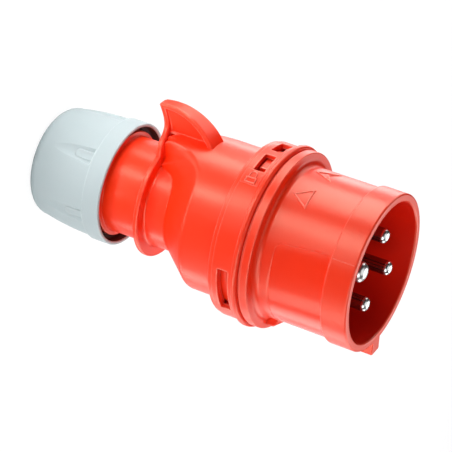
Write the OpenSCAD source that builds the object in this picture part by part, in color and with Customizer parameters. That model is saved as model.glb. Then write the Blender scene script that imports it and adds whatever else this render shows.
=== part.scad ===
// Industrial pin and sleeve plug, 16 A, three phases and earth.
// It stands on the flat end of its gland nut: +Z runs from the cable end to the
// pins, and the origin lies on the axis in the plane of the nut's end.

/* [Overall] */
// Length from the gland nut's end to the shroud's front rim
total_l = 128; // [120:1:140]
// Turn about Z of the thumb fin
fin_turn = 203; // [200:1:206]
// Turn about Z of the key rib
key_turn = 26.6; // [20:0.1:30]
// Running gap between round faces that turn on each other
turn_gap = 0.3; // [0.2:0.05:0.4]
// Gap between round faces that are only slipped together
slip_gap = 0.1; // [0.05:0.05:0.15]

/* [Shroud] */
// Height of the front collar above the tube
collar_h = 1; // [0.7:0.1:1.5]
// Length of the front collar
collar_l = 9.3; // [7:0.1:12]
// Wall of the tube round the mouth
tube_wall = 1.8; // [1.6:0.1:2.2]
// Distance from the rim back to the flange's front edge
flange_back = 34.4; // [33:0.1:36]
// How far the flange stands out past the housing's band
flange_over = 0.2; // [0.1:0.05:0.6]
// Thickness of the flange at its rim
flange_t = 3; // [2.6:0.1:3.4]
// Radius of the cove between the tube and the flange
cove_r = 4.3; // [3.5:0.1:4.3]
// Length of the skirt that goes into the housing
skirt_l = 9.4; // [9:0.1:9.8]
// Wall of the skirt
skirt_wall = 3.0; // [2.8:0.1:3]
// Height of the key rib above the collar
key_h = 4.8; // [4:0.1:5]
// Width of the key rib
key_w = 5.4; // [4.5:0.1:6]
// Length of the key rib
key_l = 8; // [6:0.5:9]
// Height of the lid catch above the tube
catch_h = 2.8; // [2.2:0.1:3.2]
// Width of the lid catch
catch_w = 9; // [7:0.5:10]
// Length of the lid catch in front of the flange
catch_l = 3.8; // [3:0.1:5]
// Angle from the key rib to the lid catch
catch_turn = -20; // [-22:1:-18]
// Depth of the smooth field sunk into the side of the tube
field_depth = 0.15; // [0.1:0.05:0.25]
// Half angle that the smooth field covers
field_half = 45; // [40:1:50]
// Thickness of the ledge inside the shroud that the insert is clamped to
ledge_t = 1.8; // [1.6:0.1:2.2]
// Width of that ledge
ledge_w = 3.1; // [2.8:0.1:3.4]
// Height of a bayonet lug above the skirt
lug_h = 1.2; // [1:0.1:1.2]
// Length of a bayonet lug along the axis
lug_l = 3; // [2.5:0.1:3.2]
// Angle that a bayonet lug covers
lug_angle = 26; // [20:1:28]
// Angle from the fin to the bayonet lugs on either side
lug_step = 140; // [138:1:144]
// Turn that frees the bayonet
bayonet_turn = 30; // [28:1:32]

/* [Rear housing] */
// Gap between the flange and the housing's front face
joint_gap = 0.8; // [0.5:0.05:1]
// Outer radius of the windowed band
band_r = 30.7; // [30.5:0.1:31]
// Wall of the band outside the bayonet groove
band_wall = 1.6; // [1.4:0.1:1.8]
// Length of the band, bead included
band_l = 11.3; // [11.1:0.1:11.5]
// Height of the bead at the band's front edge
bead_h = 1.2; // [0.8:0.1:1.4]
// Width of the bead
bead_w = 2; // [1.6:0.1:2.1]
// Step from the band down to the body
body_step = 4.4; // [4.2:0.1:4.6]
// Length of the body between band and finger scoop
body_l = 13.1; // [12:0.1:14]
// Wall of the body and of the slope behind it
body_wall = 2.7; // [2.5:0.1:2.8]
// Length of the slope from body to waist
slope_l = 11.4; // [11:0.1:12]
// Outer radius of the waist and of the neck
neck_r = 17.1; // [16.9:0.1:17.3]
// Inner radius of the neck
neck_in_r = 13.8; // [13.6:0.1:14]
// Length of the waist between slope and guard
waist_l = 8; // [7:0.1:9]
// Outer radius of the round finger guard
guard_r = 21.2; // [20.8:0.1:21.6]
// Thickness of the finger guard
guard_t = 1.8; // [1.5:0.1:2]
// Outer radius of the gland thread
thread_r = 18.8; // [18.6:0.1:18.9]
// Length of the gland thread
thread_l = 22; // [20:0.5:22]
// Height of the windows along the axis
window_h = 4.2; // [4:0.1:4.4]
// Distance from the housing's front face to the windows
window_back = 3.4; // [3.2:0.1:3.6]
// Half angle of each small lock window
lock_half = 8.2; // [7:0.2:9]
// Angle from the lock mark to the middle of a small window
lock_step = 11.2; // [10.8:0.1:12]
// Half angle of each long window
long_half = 17.3; // [16:0.1:18]
// Angle from the fin to a long window
long_step = 107; // [104:1:110]

/* [Thumb fin] */
// Height of the fin's top above the axis
fin_r = 36.2; // [35:0.1:37.5]
// Radius of the fin's curved top
fin_arc = 20.4; // [19.5:0.1:21]
// Thickness of the fin's web
web_t = 2.2; // [1.8:0.1:2.6]
// Thickness of the band along the fin's top
fin_band_t = 1.7; // [1.4:0.1:2]
// Half width of that band at the rear tip
tip_half = 2.2; // [2:0.1:2.5]
// Half width of that band where it meets the body
root_half = 4.1; // [3.5:0.1:4.4]
// How far the tip hangs over behind the guard
tip_over = 4.2; // [3:0.1:4.5]
// Half angle of the saddle under the fin, at the guard
saddle_half = 15; // [13:0.5:17]
// Number of steps round the saddle
saddle_steps = 30; // [20:2:40]

/* [Contact insert] */
// Radius of the circle that the pins stand on
pin_circle = 11.84; // [11.6:0.02:12]
// Radius of a phase pin
phase_r = 2.5; // [2.4:0.05:2.6]
// Radius of the earth pin
earth_r = 3.5; // [3.4:0.05:3.6]
// Distance from the rim back to a phase pin's end
phase_back = 1.9; // [1.6:0.1:3]
// Distance from the rim back to the earth pin's end
earth_back = 1.5; // [1:0.1:1.8]
// Distance from the rim back to the face plate
face_back = 40; // [39.8:0.1:40.5]
// Thickness of the face plate
plate_t = 3.2; // [3:0.1:3.6]
// Thickness of the carrier's disc
carrier_t = 3.5; // [3.3:0.1:3.7]
// Length of the barriers behind the carrier's disc
barrier_l = 13.5; // [12:0.5:14]
// Thickness of the barriers
barrier_t = 1.6; // [1.4:0.1:2]
// Radius of a phase pin's terminal barrel
barrel_r = 4.0; // [3.8:0.1:4.2]
// Length of the terminal barrel behind the carrier's disc
barrel_l = 11.5; // [10.5:0.5:12]
// Radius of the wire hole in a terminal barrel
wire_r = 2.1; // [2:0.05:2.2]
// Depth of the wire hole
wire_l = 10; // [9:0.5:11]
// Radius of a terminal screw's shank
screw_r = 1.95; // [1.8:0.05:2]
// Radius of a terminal screw's head
screw_head_r = 3.1; // [2.9:0.1:3.4]
// Thickness of a terminal screw's head
screw_head_t = 1.9; // [1.6:0.1:2.2]
// Thickness of the wire guard leaf
leaf_t = 0.4; // [0.3:0.05:0.5]
// Radius of a plate screw's shank
plate_screw_r = 1.45; // [1.3:0.05:1.6]
// Radius of a plate screw's countersunk head
plate_head_r = 2.8; // [2.6:0.1:3]

/* [Cable gland] */
// Length of the gland nut
nut_l = 31; // [30:0.5:32]
// Height of the nut's front collar above its body
nut_collar_h = 0.7; // [0.5:0.1:1]
// Length of that collar
nut_collar_l = 6.7; // [6:0.1:7.5]
// Wall of the nut outside the thread, just behind the collar
nut_side = 2.2; // [2:0.1:2.5]
// How much slimmer the nut's body is where its end begins to round
nut_taper = 1.8; // [1.5:0.1:1.9]
// Radius of the nut's rounded end
nut_round = 4.9; // [4.6:0.1:5.2]
// How much wider the nut's mouth is than its thread
nut_mouth_step = 1.6; // [1.3:0.1:1.8]
// Thickness of the nut's end wall
nut_wall = 3; // [2.8:0.1:3.2]
// Radius of the cable hole in the nut
cable_hole_r = 9.5; // [9:0.1:9.8]
// Number of finger flutes round the nut
flutes = 6; // [4:1:8]
// Depth of a flute
flute_depth = 0.9; // [0.7:0.05:1]
// Radius of the cutter that scoops a flute
flute_r = 4; // [3:0.1:4.5]
// Height where a flute runs out
flute_tip_z = 7.5; // [6.5:0.5:10]
// Turn of the first flute
flute_turn = 8; // [0:1:20]
// Thickness of the pressure ring
ring_t = 2.1; // [1.8:0.1:2.1]
// Thickness of the clamp cage's base
cage_t = 2.1; // [1.8:0.1:2.2]
// Length of the cage's fingers
finger_l = 12.5; // [10:0.5:15]
// Wall of the cage's fingers
finger_wall = 1.5; // [1.3:0.1:1.7]
// Number of cage fingers
fingers = 8; // [6:2:10]
// Width of the slots between the fingers
finger_slot = 2; // [1.5:0.1:2.5]
// Inner radius of the rubber cable seal
seal_r = 6; // [5:0.1:7]
// Length of the cable seal
seal_l = 15; // [12:0.5:16]

/* [Hidden] */
$fn = 96;
red = [0.93, 0.16, 0.08];
grey_blue = [0.77, 0.83, 0.85];
nickel = [0.80, 0.79, 0.76];
dark = [0.13, 0.13, 0.14];
brass = [0.80, 0.66, 0.36];

// Heights above the nut's end
flange_top = total_l - flange_back;
flange_bottom = flange_top - flange_t;
skirt_end = flange_bottom - skirt_l;
housing_top = flange_bottom - joint_gap;
band_bottom = housing_top - band_l;
body_bottom = band_bottom - body_l;
slope_bottom = body_bottom - slope_l;
guard_top = slope_bottom - waist_l;
guard_bottom = guard_top - guard_t;
face_z = total_l - face_back;
ledge_top = face_z - plate_t;
ledge_bottom = ledge_top - ledge_t;
carrier_bottom = ledge_bottom - carrier_t;
ring_z = nut_wall;
cage_z = ring_z + ring_t + turn_gap;
housing_bottom = cage_z + cage_t;
thread_top = housing_bottom + thread_l;
seal_ring_t = 1.2;
seal_seat = skirt_end - seal_ring_t - turn_gap;

// Radii that follow from walls and fits, from the band inwards and out to the collar
groove_r = band_r - band_wall;
lug_r = groove_r - turn_gap;
skirt_r = lug_r - lug_h;
skirt_bore = skirt_r + turn_gap;
mouth_r = skirt_r - skirt_wall;
tube_r = mouth_r + tube_wall;
collar_r = tube_r + collar_h;
flange_r = band_r + flange_over;
ledge_r = mouth_r - ledge_w;
body_r = band_r - body_step;
body_bore = body_r - body_wall;
insert_r = mouth_r - 0.4;
carrier_r = min(insert_r, body_bore - turn_gap);

// Radii that follow from the gland thread
nut_bore = thread_r + turn_gap;
nut_r = nut_bore + nut_side;
nut_tail_r = nut_r - nut_taper;
nut_collar_r = nut_r + nut_collar_h;
nut_mouth_r = nut_bore + nut_mouth_step;
eps = 0.02;

// The bayonet groove and the lug in it
groove_top = housing_top - window_back;
groove_bottom = groove_top - window_h;
window_z = groove_bottom + 0.2;
lug_z = groove_bottom + (window_h - lug_l) / 2;
lug_turns = [fin_turn + 2, fin_turn + lug_step, fin_turn - lug_step];

// Points on an arc, from angle a0 to a1
function arc(x, y, r, a0, a1, n = 8) =
    [for (i = [0:n]) let (a = a0 + (a1 - a0) * i / n) [x + r * cos(a), y + r * sin(a)]];

// Value between a and b
function mix(a, b, t) = a + (b - a) * t;

// ---------- rear housing ----------

// Saddle surface: the body's radius runs back under the fin, between two S-shaped edges.
// b is the angle from the fin. Both edges fall off as exponentials of b, so that the slope
// is a plain cone at the sides and climbs round the fin's root like a scoop.
edge_fall = 8.5;
foot_fall = 8;
foot_rise = 6;
function saddle_edge_z(b) =
    body_bottom - (body_bottom - guard_top) * exp(-(max(b, saddle_half) - saddle_half) / edge_fall);
function saddle_foot_z(b) =
    slope_bottom - foot_rise * exp(-(b - saddle_half - 12) / foot_fall);
function saddle_t(b, z) =
    min(1, max(0, (saddle_edge_z(b) - z) / max(1, saddle_edge_z(b) - saddle_foot_z(b))));
function saddle_r(b, z) = mix(body_r - 0.01, neck_r - 0.5, saddle_t(b, z));

saddle_span = 46;
saddle_top = body_bottom + 1;
saddle_bottom = guard_top - 0.4;
flat_rows = 2;
slope_rows = 8;
foot_rows = 2;
nz = flat_rows + slope_rows + foot_rows;

// Height of row j at angle b: rows gather on the slope between its two edges
function saddle_z(b, j) =
    let (e = max(saddle_edge_z(b), saddle_bottom + 1.5),
        f = max(min(saddle_foot_z(b), e - 0.8), saddle_bottom + 0.65))
    j <= flat_rows ? mix(saddle_top, e, j / flat_rows)
    : j <= flat_rows + slope_rows ? mix(e, f, (j - flat_rows) / slope_rows)
    : mix(f, saddle_bottom, (j - flat_rows - slope_rows) / foot_rows);

// Closed block between an inner radius in the wall and the saddle surface
module saddle() {
    nb = saddle_steps;
    inner = neck_in_r + 1.6;
    function inner_r(z) = z < slope_bottom ? inner
        : mix(inner, body_bore + 1.2, min(1, (z - slope_bottom) / slope_l));
    function dip(b) = 0.9 * pow(max(0, abs(b) - 33) / (saddle_span - 33), 2);
    function outer_r(b, z) = max(inner_r(z) + 0.4, saddle_r(abs(b), z) - dip(b));
    function at(r, b, z) = [r * cos(b), r * sin(b), z];
    turns = [for (i = [0:nb]) mix(-saddle_span, saddle_span, i / nb)];
    points = [
        for (b = turns) for (j = [nz:-1:0]) let (z = saddle_z(abs(b), j)) at(outer_r(b, z), b, z),
        for (b = turns) for (j = [nz:-1:0]) let (z = saddle_z(abs(b), j)) at(inner_r(z), b, z)
    ];
    row = nz + 1;
    half = (nb + 1) * row;
    function quad(a, b, c, d) = [[a, b, c], [a, c, d]];
    faces = [
        for (i = [0:nb - 1]) for (j = [0:nz - 1]) for (f = quad(
            i * row + j, i * row + j + 1, (i + 1) * row + j + 1, (i + 1) * row + j)) f,
        for (i = [0:nb - 1]) for (j = [0:nz - 1]) for (f = quad(
            half + i * row + j, half + (i + 1) * row + j,
            half + (i + 1) * row + j + 1, half + i * row + j + 1)) f,
        for (i = [0:nb - 1]) for (f = quad(
            i * row, (i + 1) * row, half + (i + 1) * row, half + i * row)) f,
        for (i = [0:nb - 1]) for (f = quad(
            i * row + nz, half + i * row + nz, half + (i + 1) * row + nz, (i + 1) * row + nz)) f,
        for (j = [0:nz - 1]) for (f = quad(
            j, half + j, half + j + 1, j + 1)) f,
        for (j = [0:nz - 1]) for (f = quad(
            nb * row + j, nb * row + j + 1, half + nb * row + j + 1, half + nb * row + j)) f
    ];
    rotate([0, 0, fin_turn]) polyhedron(points, faces, convexity = 4);
}

// The fin is drawn from the side as radius against height. Its rear face leans back
// towards the tip, and its top is an arc that dips into the body.
fin_foot = 18.4;
fin_centre_r = fin_r - fin_arc;
fin_centre_z = guard_top - 0.5;
fin_tip_z = guard_bottom - tip_over;
function fin_rear_z(y) =
    guard_bottom + eps - tip_over * pow(min(1, max(0, (y - guard_r) / (fin_r - guard_r))), 2.2);

// Side view of the fin, drawn back from its outline by top and rear
module fin_side(top, rear) {
    arc_r = fin_arc - top;
    low = asin((fin_tip_z + 1.2 - fin_centre_z) / arc_r);
    high = acos((body_r - 1.2 - fin_centre_r) / arc_r);
    tip_y = fin_centre_r + arc_r * cos(low);
    steps = 10;
    polygon(concat(
        [for (i = [0:steps]) let (y = mix(fin_foot, tip_y - 0.05, i / steps)) [y, fin_rear_z(y) + rear]],
        arc(fin_centre_r, fin_centre_z, arc_r, low, high, 24),
        [[fin_foot, fin_centre_z + arc_r * sin(high)]]
    ));
}

// Half width of the rear plate: it leaves the round guard in an S and slims up the fin
slim_over = 4.5;
slim_fall = 1.3;
wide_over = 6.4;
function plate_half(y) =
    tip_half - 0.1 + wide_over / (1 + exp((y - guard_r - slim_over) / slim_fall));

module fin_rear_plate() {
    steps = 16;
    top_y = fin_centre_r + (fin_arc - 0.3) * cos(asin((fin_tip_z + 1.2 - fin_centre_z) / fin_arc));
    ys = [for (i = [0:steps]) mix(fin_foot - 1, top_y, i / steps)];
    intersection() {
        rotate([90, 0, 0]) linear_extrude(30, center = true) polygon(concat(
            [for (y = ys) [y, fin_rear_z(y)]],
            [for (i = [steps:-1:0]) [ys[i], fin_rear_z(ys[i]) + guard_t - 2 * eps]]
        ));
        translate([0, 0, fin_tip_z - 1]) linear_extrude(guard_top - fin_tip_z + 2) polygon(concat(
            [for (y = ys) [y, plate_half(y)]],
            [for (i = [steps:-1:0]) [ys[i], -plate_half(ys[i])]]
        ));
    }
}

// Band along the fin's top, wider towards the body
module fin_band() {
    reach = body_bottom - fin_tip_z;
    intersection() {
        rotate([90, 0, 0]) linear_extrude(20, center = true) difference() {
            fin_side(0, 0.1);
            translate([fin_centre_r, fin_centre_z]) circle(r = fin_arc - fin_band_t);
        }
        translate([fin_foot, 0, fin_tip_z]) rotate([0, 90, 0]) linear_extrude(fin_r) polygon([
            [1, tip_half], [-reach - 1, root_half], [-reach - 1, -root_half], [1, -tip_half]
        ]);
    }
}

module fin() {
    rotate([0, 0, fin_turn]) {
        rotate([90, 0, 0]) linear_extrude(web_t, center = true) fin_side(fin_band_t / 2, guard_t / 2);
        fin_rear_plate();
        fin_band();
    }
}

guard_fillet = 0.9;

module housing_shell() {
    rotate_extrude() polygon([
        [neck_in_r, housing_bottom],
        [thread_r - 1.2, housing_bottom],
        [thread_r, housing_bottom + 1.5],
        [thread_r, thread_top - 0.8],
        [thread_r - 0.8, thread_top],
        [neck_r, thread_top],
        [neck_r, guard_bottom],
        [guard_r - 0.4, guard_bottom],
        [guard_r, guard_bottom + 0.4],
        [guard_r, guard_top - 0.4],
        [guard_r - 0.4, guard_top],
        [neck_r + guard_fillet, guard_top],
        [neck_r, guard_top + guard_fillet],
        [neck_r, slope_bottom],
        [body_r, body_bottom],
        [body_r, band_bottom - 0.6],
        [body_r + 0.6, band_bottom],
        [band_r - 0.8, band_bottom],
        [band_r - 0.4, band_bottom + 0.4],
        [band_r - 0.4, band_bottom + 1.6],
        [band_r, band_bottom + 1.7],
        [band_r, housing_top - bead_w - 0.3],
        [band_r + bead_h - 0.2, housing_top - bead_w],
        [band_r + bead_h, housing_top - bead_w / 2],
        [band_r + bead_h - 0.3, housing_top - 0.2],
        [band_r + bead_h - 0.6, housing_top],
        [skirt_bore, housing_top],
        [skirt_bore, groove_top],
        [groove_r, groove_top],
        [groove_r, groove_bottom],
        [skirt_bore, groove_bottom],
        [skirt_bore, seal_seat],
        [body_bore, seal_seat],
        [body_bore, body_bottom - 1],
        [neck_in_r, slope_bottom - 1]
    ]);
}

// A block that reaches from radius r0 to r1 over an angle, between two heights
module sector_block(turn, half, r0, r1, z0, h) {
    rotate([0, 0, turn - half]) translate([0, 0, z0])
        rotate_extrude(angle = 2 * half) translate([r0, 0]) square([r1 - r0, h]);
}

module windows() {
    for (t = [fin_turn + 2 - lock_step, fin_turn + 2 + lock_step])
        sector_block(t, lock_half, skirt_bore + 0.3, band_r + 2, window_z, window_h - 0.4);
    for (t = [fin_turn + long_step, fin_turn - long_step])
        sector_block(t, long_half, skirt_bore + 0.3, band_r + 2, window_z, window_h - 0.4);
}

// Ways in for the bayonet lugs, open to the housing's front
module bayonet_ways() {
    for (t = lug_turns)
        sector_block(t + bayonet_turn, lug_angle / 2 + 0.6, skirt_bore - 1, groove_r - 0.05,
            window_z, housing_top - window_z + 1);
}

module rear_housing() {
    color(red) difference() {
        union() {
            housing_shell();
            saddle();
            fin();
        }
        windows();
        bayonet_ways();
    }
}

// ---------- front part ----------

module shroud_shell() {
    rotate_extrude() difference() {
        polygon([
            [mouth_r, skirt_end], [skirt_r - 0.5, skirt_end], [skirt_r, skirt_end + 0.5],
            [skirt_r, flange_bottom], [flange_r - 0.3, flange_bottom],
            [flange_r, flange_bottom + 0.3], [flange_r, flange_top],
            [tube_r + cove_r, flange_top], [tube_r + cove_r, flange_top + cove_r],
            [tube_r, flange_top + cove_r],
            [tube_r, total_l - collar_l - 0.3], [collar_r - 0.3, total_l - collar_l],
            [collar_r, total_l - collar_l + 0.3], [collar_r, total_l - 0.5],
            [collar_r - 0.5, total_l], [mouth_r + 0.4, total_l], [mouth_r, total_l - 0.4],
            [mouth_r, ledge_top], [ledge_r, ledge_top], [ledge_r, ledge_bottom],
            [mouth_r, ledge_bottom]
        ]);
        translate([tube_r + cove_r, flange_top + cove_r]) circle(r = cove_r);
    }
}

module key_rib() {
    rotate([0, 0, key_turn]) intersection() {
        translate([tube_r, -key_w / 2, total_l - key_l])
            cube([collar_r - tube_r + key_h, key_w, key_l]);
        rotate([90, 0, 0]) linear_extrude(key_w, center = true) polygon([
            [tube_r, total_l - key_l], [collar_r, total_l - key_l],
            [collar_r + key_h, total_l - key_l + 3], [collar_r + key_h, total_l - 0.6],
            [collar_r + key_h - 0.6, total_l], [tube_r, total_l]
        ]);
        cylinder(r = collar_r + key_h, h = total_l);
    }
}

catch_bevel = 1.4;

module lid_catch() {
    rotate([0, 0, key_turn + catch_turn]) rotate([90, 0, 0])
        linear_extrude(catch_w, center = true) polygon([
            [tube_r - 0.8, flange_bottom + 0.2], [tube_r + catch_h, flange_bottom + 0.2],
            [tube_r + catch_h, flange_top + catch_l - catch_bevel],
            [tube_r + catch_h - catch_bevel, flange_top + catch_l],
            [tube_r - 0.8, flange_top + catch_l]
        ]);
}

module bayonet_lugs() {
    for (t = lug_turns)
        sector_block(t, lug_angle / 2, skirt_r - 0.8, lug_r, lug_z, lug_l);
}

// Smooth field between the cove and the collar, a quarter of the way round the tube
field_turn = 308;
field_low = flange_top + cove_r + 1.3;
field_high = total_l - collar_l - 0.6;

module smooth_field() {
    sector_block(field_turn, field_half, tube_r - field_depth, tube_r + 2, field_low,
        field_high - field_low);
}

module shroud() {
    color(red) union() {
        difference() {
            shroud_shell();
            smooth_field();
        }
        key_rib();
        lid_catch();
        bayonet_lugs();
    }
}

// Turn of each contact about Z: name, turn, contact radius, distance of its end from the rim
contacts = [
    ["l1", 180, phase_r, phase_back],
    ["l2", 90, phase_r, phase_back],
    ["l3", 0, phase_r, phase_back],
    ["earth", 270, earth_r, earth_back]
];
shoulder = 0.5;
collar_over = 0.9;
function barrel_of(r) = barrel_r + (r - phase_r) * 0.6;

module at_contact(c) {
    rotate([0, 0, c[1]]) translate([pin_circle, 0, 0]) children();
}

module contact_pin(c) {
    r = c[2];
    end = total_l - c[3];
    barrel = barrel_of(r);
    dome = r * 0.62;
    terminal_bottom = carrier_bottom - barrel_l;
    at_contact(c) difference() {
        union() {
            translate([0, 0, face_z]) cylinder(r = r, h = end - dome - face_z);
            translate([0, 0, end - dome - eps]) intersection() {
                translate([0, 0, dome + eps - r * 1.12]) sphere(r = r * 1.12);
                cylinder(r = r, h = dome + eps);
            }
            translate([0, 0, ledge_top]) cylinder(r = r + shoulder, h = plate_t);
            translate([0, 0, ledge_bottom]) cylinder(r = barrel + collar_over, h = ledge_t);
            translate([0, 0, terminal_bottom])
                cylinder(r = barrel, h = ledge_bottom - terminal_bottom);
        }
        translate([0, 0, terminal_bottom - 1]) cylinder(r = wire_r, h = wire_l + 1);
        translate([0, 0, screw_z]) rotate([0, 90, 0]) cylinder(r = screw_r + slip_gap, h = barrel + 1);
    }
}
screw_z = carrier_bottom - barrel_l + wire_l / 2;
leaf_x = wire_r * 0.45;

// The screw's tip bears on the leaf inside the wire hole
module terminal_screw(c) {
    barrel = barrel_of(c[2]);
    tip = leaf_x + leaf_t + 0.05;
    at_contact(c) translate([0, 0, screw_z]) rotate([0, 90, 0]) difference() {
        union() {
            translate([0, 0, tip]) cylinder(r = screw_r, h = barrel + 0.8 - tip + eps);
            translate([0, 0, barrel + 0.8]) cylinder(r = screw_head_r, h = screw_head_t);
        }
        translate([-0.4, -screw_head_r - 1, barrel + 0.8 + screw_head_t / 2])
            cube([0.8, 2 * screw_head_r + 2, screw_head_t]);
    }
}

module wire_leaf(c) {
    half = sqrt(pow(wire_r, 2) - pow(leaf_x + leaf_t, 2)) - slip_gap;
    at_contact(c) translate([leaf_x, -half, carrier_bottom - barrel_l + 0.5])
        cube([leaf_t, 2 * half, wire_l - 1.5]);
}

plate_head_gap = 2.3;
plate_screw_circle = ledge_r - plate_head_r - plate_head_gap;
plate_screw_l = plate_t + ledge_t + carrier_t - 0.6;
screw_turns = [45, 225];

module plate_screw(turn) {
    rotate([0, 0, turn]) translate([plate_screw_circle, 0, face_z - 0.1]) difference() {
        union() {
            translate([0, 0, -plate_head_r + plate_screw_r])
                cylinder(r1 = plate_screw_r, r2 = plate_head_r, h = plate_head_r - plate_screw_r);
            translate([0, 0, -plate_screw_l]) cylinder(r = plate_screw_r, h = plate_screw_l - 0.5);
        }
        for (a = [0, 90]) rotate([0, 0, a])
            translate([-plate_head_r * 0.6, -0.35, -0.9]) cube([plate_head_r * 1.2, 0.7, 2]);
    }
}

module face_plate() {
    color(dark) difference() {
        union() {
            translate([0, 0, ledge_top]) cylinder(r = insert_r, h = plate_t - 0.3);
            translate([0, 0, face_z - 0.3]) cylinder(r1 = insert_r, r2 = insert_r - 0.3, h = 0.3);
        }
        for (c = contacts) at_contact(c)
            translate([0, 0, ledge_top - 1]) cylinder(r = c[2] + shoulder + slip_gap, h = plate_t + 2);
        for (t = screw_turns) rotate([0, 0, t]) translate([plate_screw_circle, 0, 0]) {
            translate([0, 0, ledge_top - 1]) cylinder(r = plate_screw_r + slip_gap, h = plate_t + 2);
            translate([0, 0, face_z - 0.1 - plate_head_r + plate_screw_r - 0.2])
                cylinder(r1 = plate_screw_r + slip_gap, r2 = plate_head_r + 0.3,
                    h = plate_head_r - plate_screw_r + 0.4);
        }
    }
}

module contact_carrier() {
    spacer_r = plate_screw_r + 2;
    color(dark) difference() {
        union() {
            translate([0, 0, carrier_bottom]) cylinder(r = carrier_r, h = carrier_t);
            for (a = [45, 135]) rotate([0, 0, a])
                translate([-body_bore + 3, -barrier_t / 2, carrier_bottom - barrier_l])
                    cube([2 * body_bore - 6, barrier_t, barrier_l + eps]);
            for (t = screw_turns) rotate([0, 0, t]) translate([plate_screw_circle, 0, 0])
                translate([0, 0, ledge_bottom - eps]) cylinder(r = spacer_r, h = ledge_t + eps);
        }
        for (c = contacts) at_contact(c) translate([0, 0, carrier_bottom - 1])
            cylinder(r = barrel_of(c[2]) + slip_gap, h = carrier_t + 2);
        for (t = screw_turns) rotate([0, 0, t]) translate([plate_screw_circle, 0, carrier_bottom + 0.3])
            cylinder(r = plate_screw_r + slip_gap, h = carrier_t + ledge_t + 1);
    }
}

module joint_seal() {
    color([0.2, 0.2, 0.2]) translate([0, 0, seal_seat]) difference() {
        cylinder(r = skirt_bore - 0.3, h = seal_ring_t);
        translate([0, 0, -1]) cylinder(r = mouth_r, h = seal_ring_t + 2);
    }
}

// ---------- cable gland ----------

nut_top = nut_l;
nut_step = nut_l - nut_collar_l;
nut_side_top = nut_step - 0.6;
function nut_side_r(z) =
    mix(nut_r, nut_tail_r, pow((nut_side_top - z) / (nut_side_top - nut_round), 2));

module nut_outer() {
    rotate_extrude() polygon(concat(
        [[0, 0]],
        arc(nut_tail_r - nut_round, nut_round, nut_round, -90, 0, 10),
        [for (i = [1:8]) let (z = mix(nut_round, nut_side_top, i / 8)) [nut_side_r(z), z]],
        [
            [nut_collar_r - 0.2, nut_step], [nut_collar_r, nut_step + 0.3],
            [nut_collar_r, nut_top - 0.5], [nut_collar_r - 0.4, nut_top], [0, nut_top]
        ]
    ));
}

// One grip flute: a scoop that deepens towards the collar, and stops square at it
module flute() {
    lean = atan2(nut_r - flute_depth - nut_side_r(flute_tip_z), nut_side_top - flute_tip_z);
    translate([nut_r + flute_r - flute_depth, 0, nut_side_top]) rotate([0, lean, 0])
        translate([0, 0, flute_tip_z - nut_side_top - 2])
            cylinder(r = flute_r, h = nut_side_top - flute_tip_z + 2);
}

module gland_nut() {
    color(grey_blue) difference() {
        nut_outer();
        rotate_extrude() polygon([
            [0, -1], [cable_hole_r + 1.5, -1], [cable_hole_r + 0.5, 0], [cable_hole_r, 0.5],
            [cable_hole_r, nut_wall], [ring_r + turn_gap + 0.1, nut_wall],
            [nut_bore, housing_bottom + 1], [nut_bore, nut_top - 4.4],
            [nut_mouth_r, nut_top - 3.4], [nut_mouth_r, nut_top + 1], [0, nut_top + 1]
        ]);
        for (i = [0:flutes - 1]) rotate([0, 0, flute_turn + i * 360 / flutes]) flute();
    }
}

ring_r = 15.6;
cage_r = 16.5;
way_r = cable_hole_r + 0.3;

module pressure_ring() {
    color([0.9, 0.9, 0.88]) translate([0, 0, ring_z]) difference() {
        cylinder(r = ring_r, h = ring_t);
        translate([0, 0, -1]) cylinder(r = way_r, h = ring_t + 2);
    }
}

module clamp_cage() {
    finger_r = neck_in_r - turn_gap;
    color([0.88, 0.88, 0.85]) difference() {
        union() {
            translate([0, 0, cage_z]) cylinder(r = cage_r, h = cage_t);
            translate([0, 0, cage_z]) cylinder(r = finger_r, h = cage_t + finger_l);
        }
        translate([0, 0, cage_z - 1]) cylinder(r = way_r, h = cage_t + 2);
        translate([0, 0, cage_z + cage_t]) cylinder(r = finger_r - finger_wall, h = finger_l + 1);
        for (i = [0:fingers / 2 - 1]) rotate([0, 0, i * 360 / fingers])
            translate([-finger_r - 1, -finger_slot / 2, cage_z + cage_t + 1])
                cube([2 * finger_r + 2, finger_slot, finger_l]);
    }
}

module cable_seal() {
    seal_out = neck_in_r - turn_gap - finger_wall - slip_gap;
    color([0.18, 0.18, 0.18]) translate([0, 0, cage_z + cage_t]) difference() {
        union() {
            cylinder(r = seal_out, h = seal_l - 1.5);
            translate([0, 0, seal_l - 1.5]) cylinder(r1 = seal_out, r2 = seal_out - 2, h = 1.5);
        }
        translate([0, 0, -1]) cylinder(r = seal_r, h = seal_l + 2);
    }
}

rear_housing();
shroud();
contact_carrier();
face_plate();
color(nickel) plate_screw(screw_turns[0]);  // plate_screw_a
color(nickel) plate_screw(screw_turns[1]);  // plate_screw_b
color(nickel) contact_pin(contacts[0]);  // pin_l1
color(nickel) contact_pin(contacts[1]);  // pin_l2
color(nickel) contact_pin(contacts[2]);  // pin_l3
color(nickel) contact_pin(contacts[3]);  // pin_earth
color(nickel) terminal_screw(contacts[0]);  // terminal_screw_l1
color(nickel) terminal_screw(contacts[1]);  // terminal_screw_l2
color(nickel) terminal_screw(contacts[2]);  // terminal_screw_l3
color(nickel) terminal_screw(contacts[3]);  // terminal_screw_earth
color(brass) wire_leaf(contacts[0]);  // wire_leaf_l1
color(brass) wire_leaf(contacts[1]);  // wire_leaf_l2
color(brass) wire_leaf(contacts[2]);  // wire_leaf_l3
color(brass) wire_leaf(contacts[3]);  // wire_leaf_earth
joint_seal();
gland_nut();
pressure_ring();
clamp_cage();
cable_seal();
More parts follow.
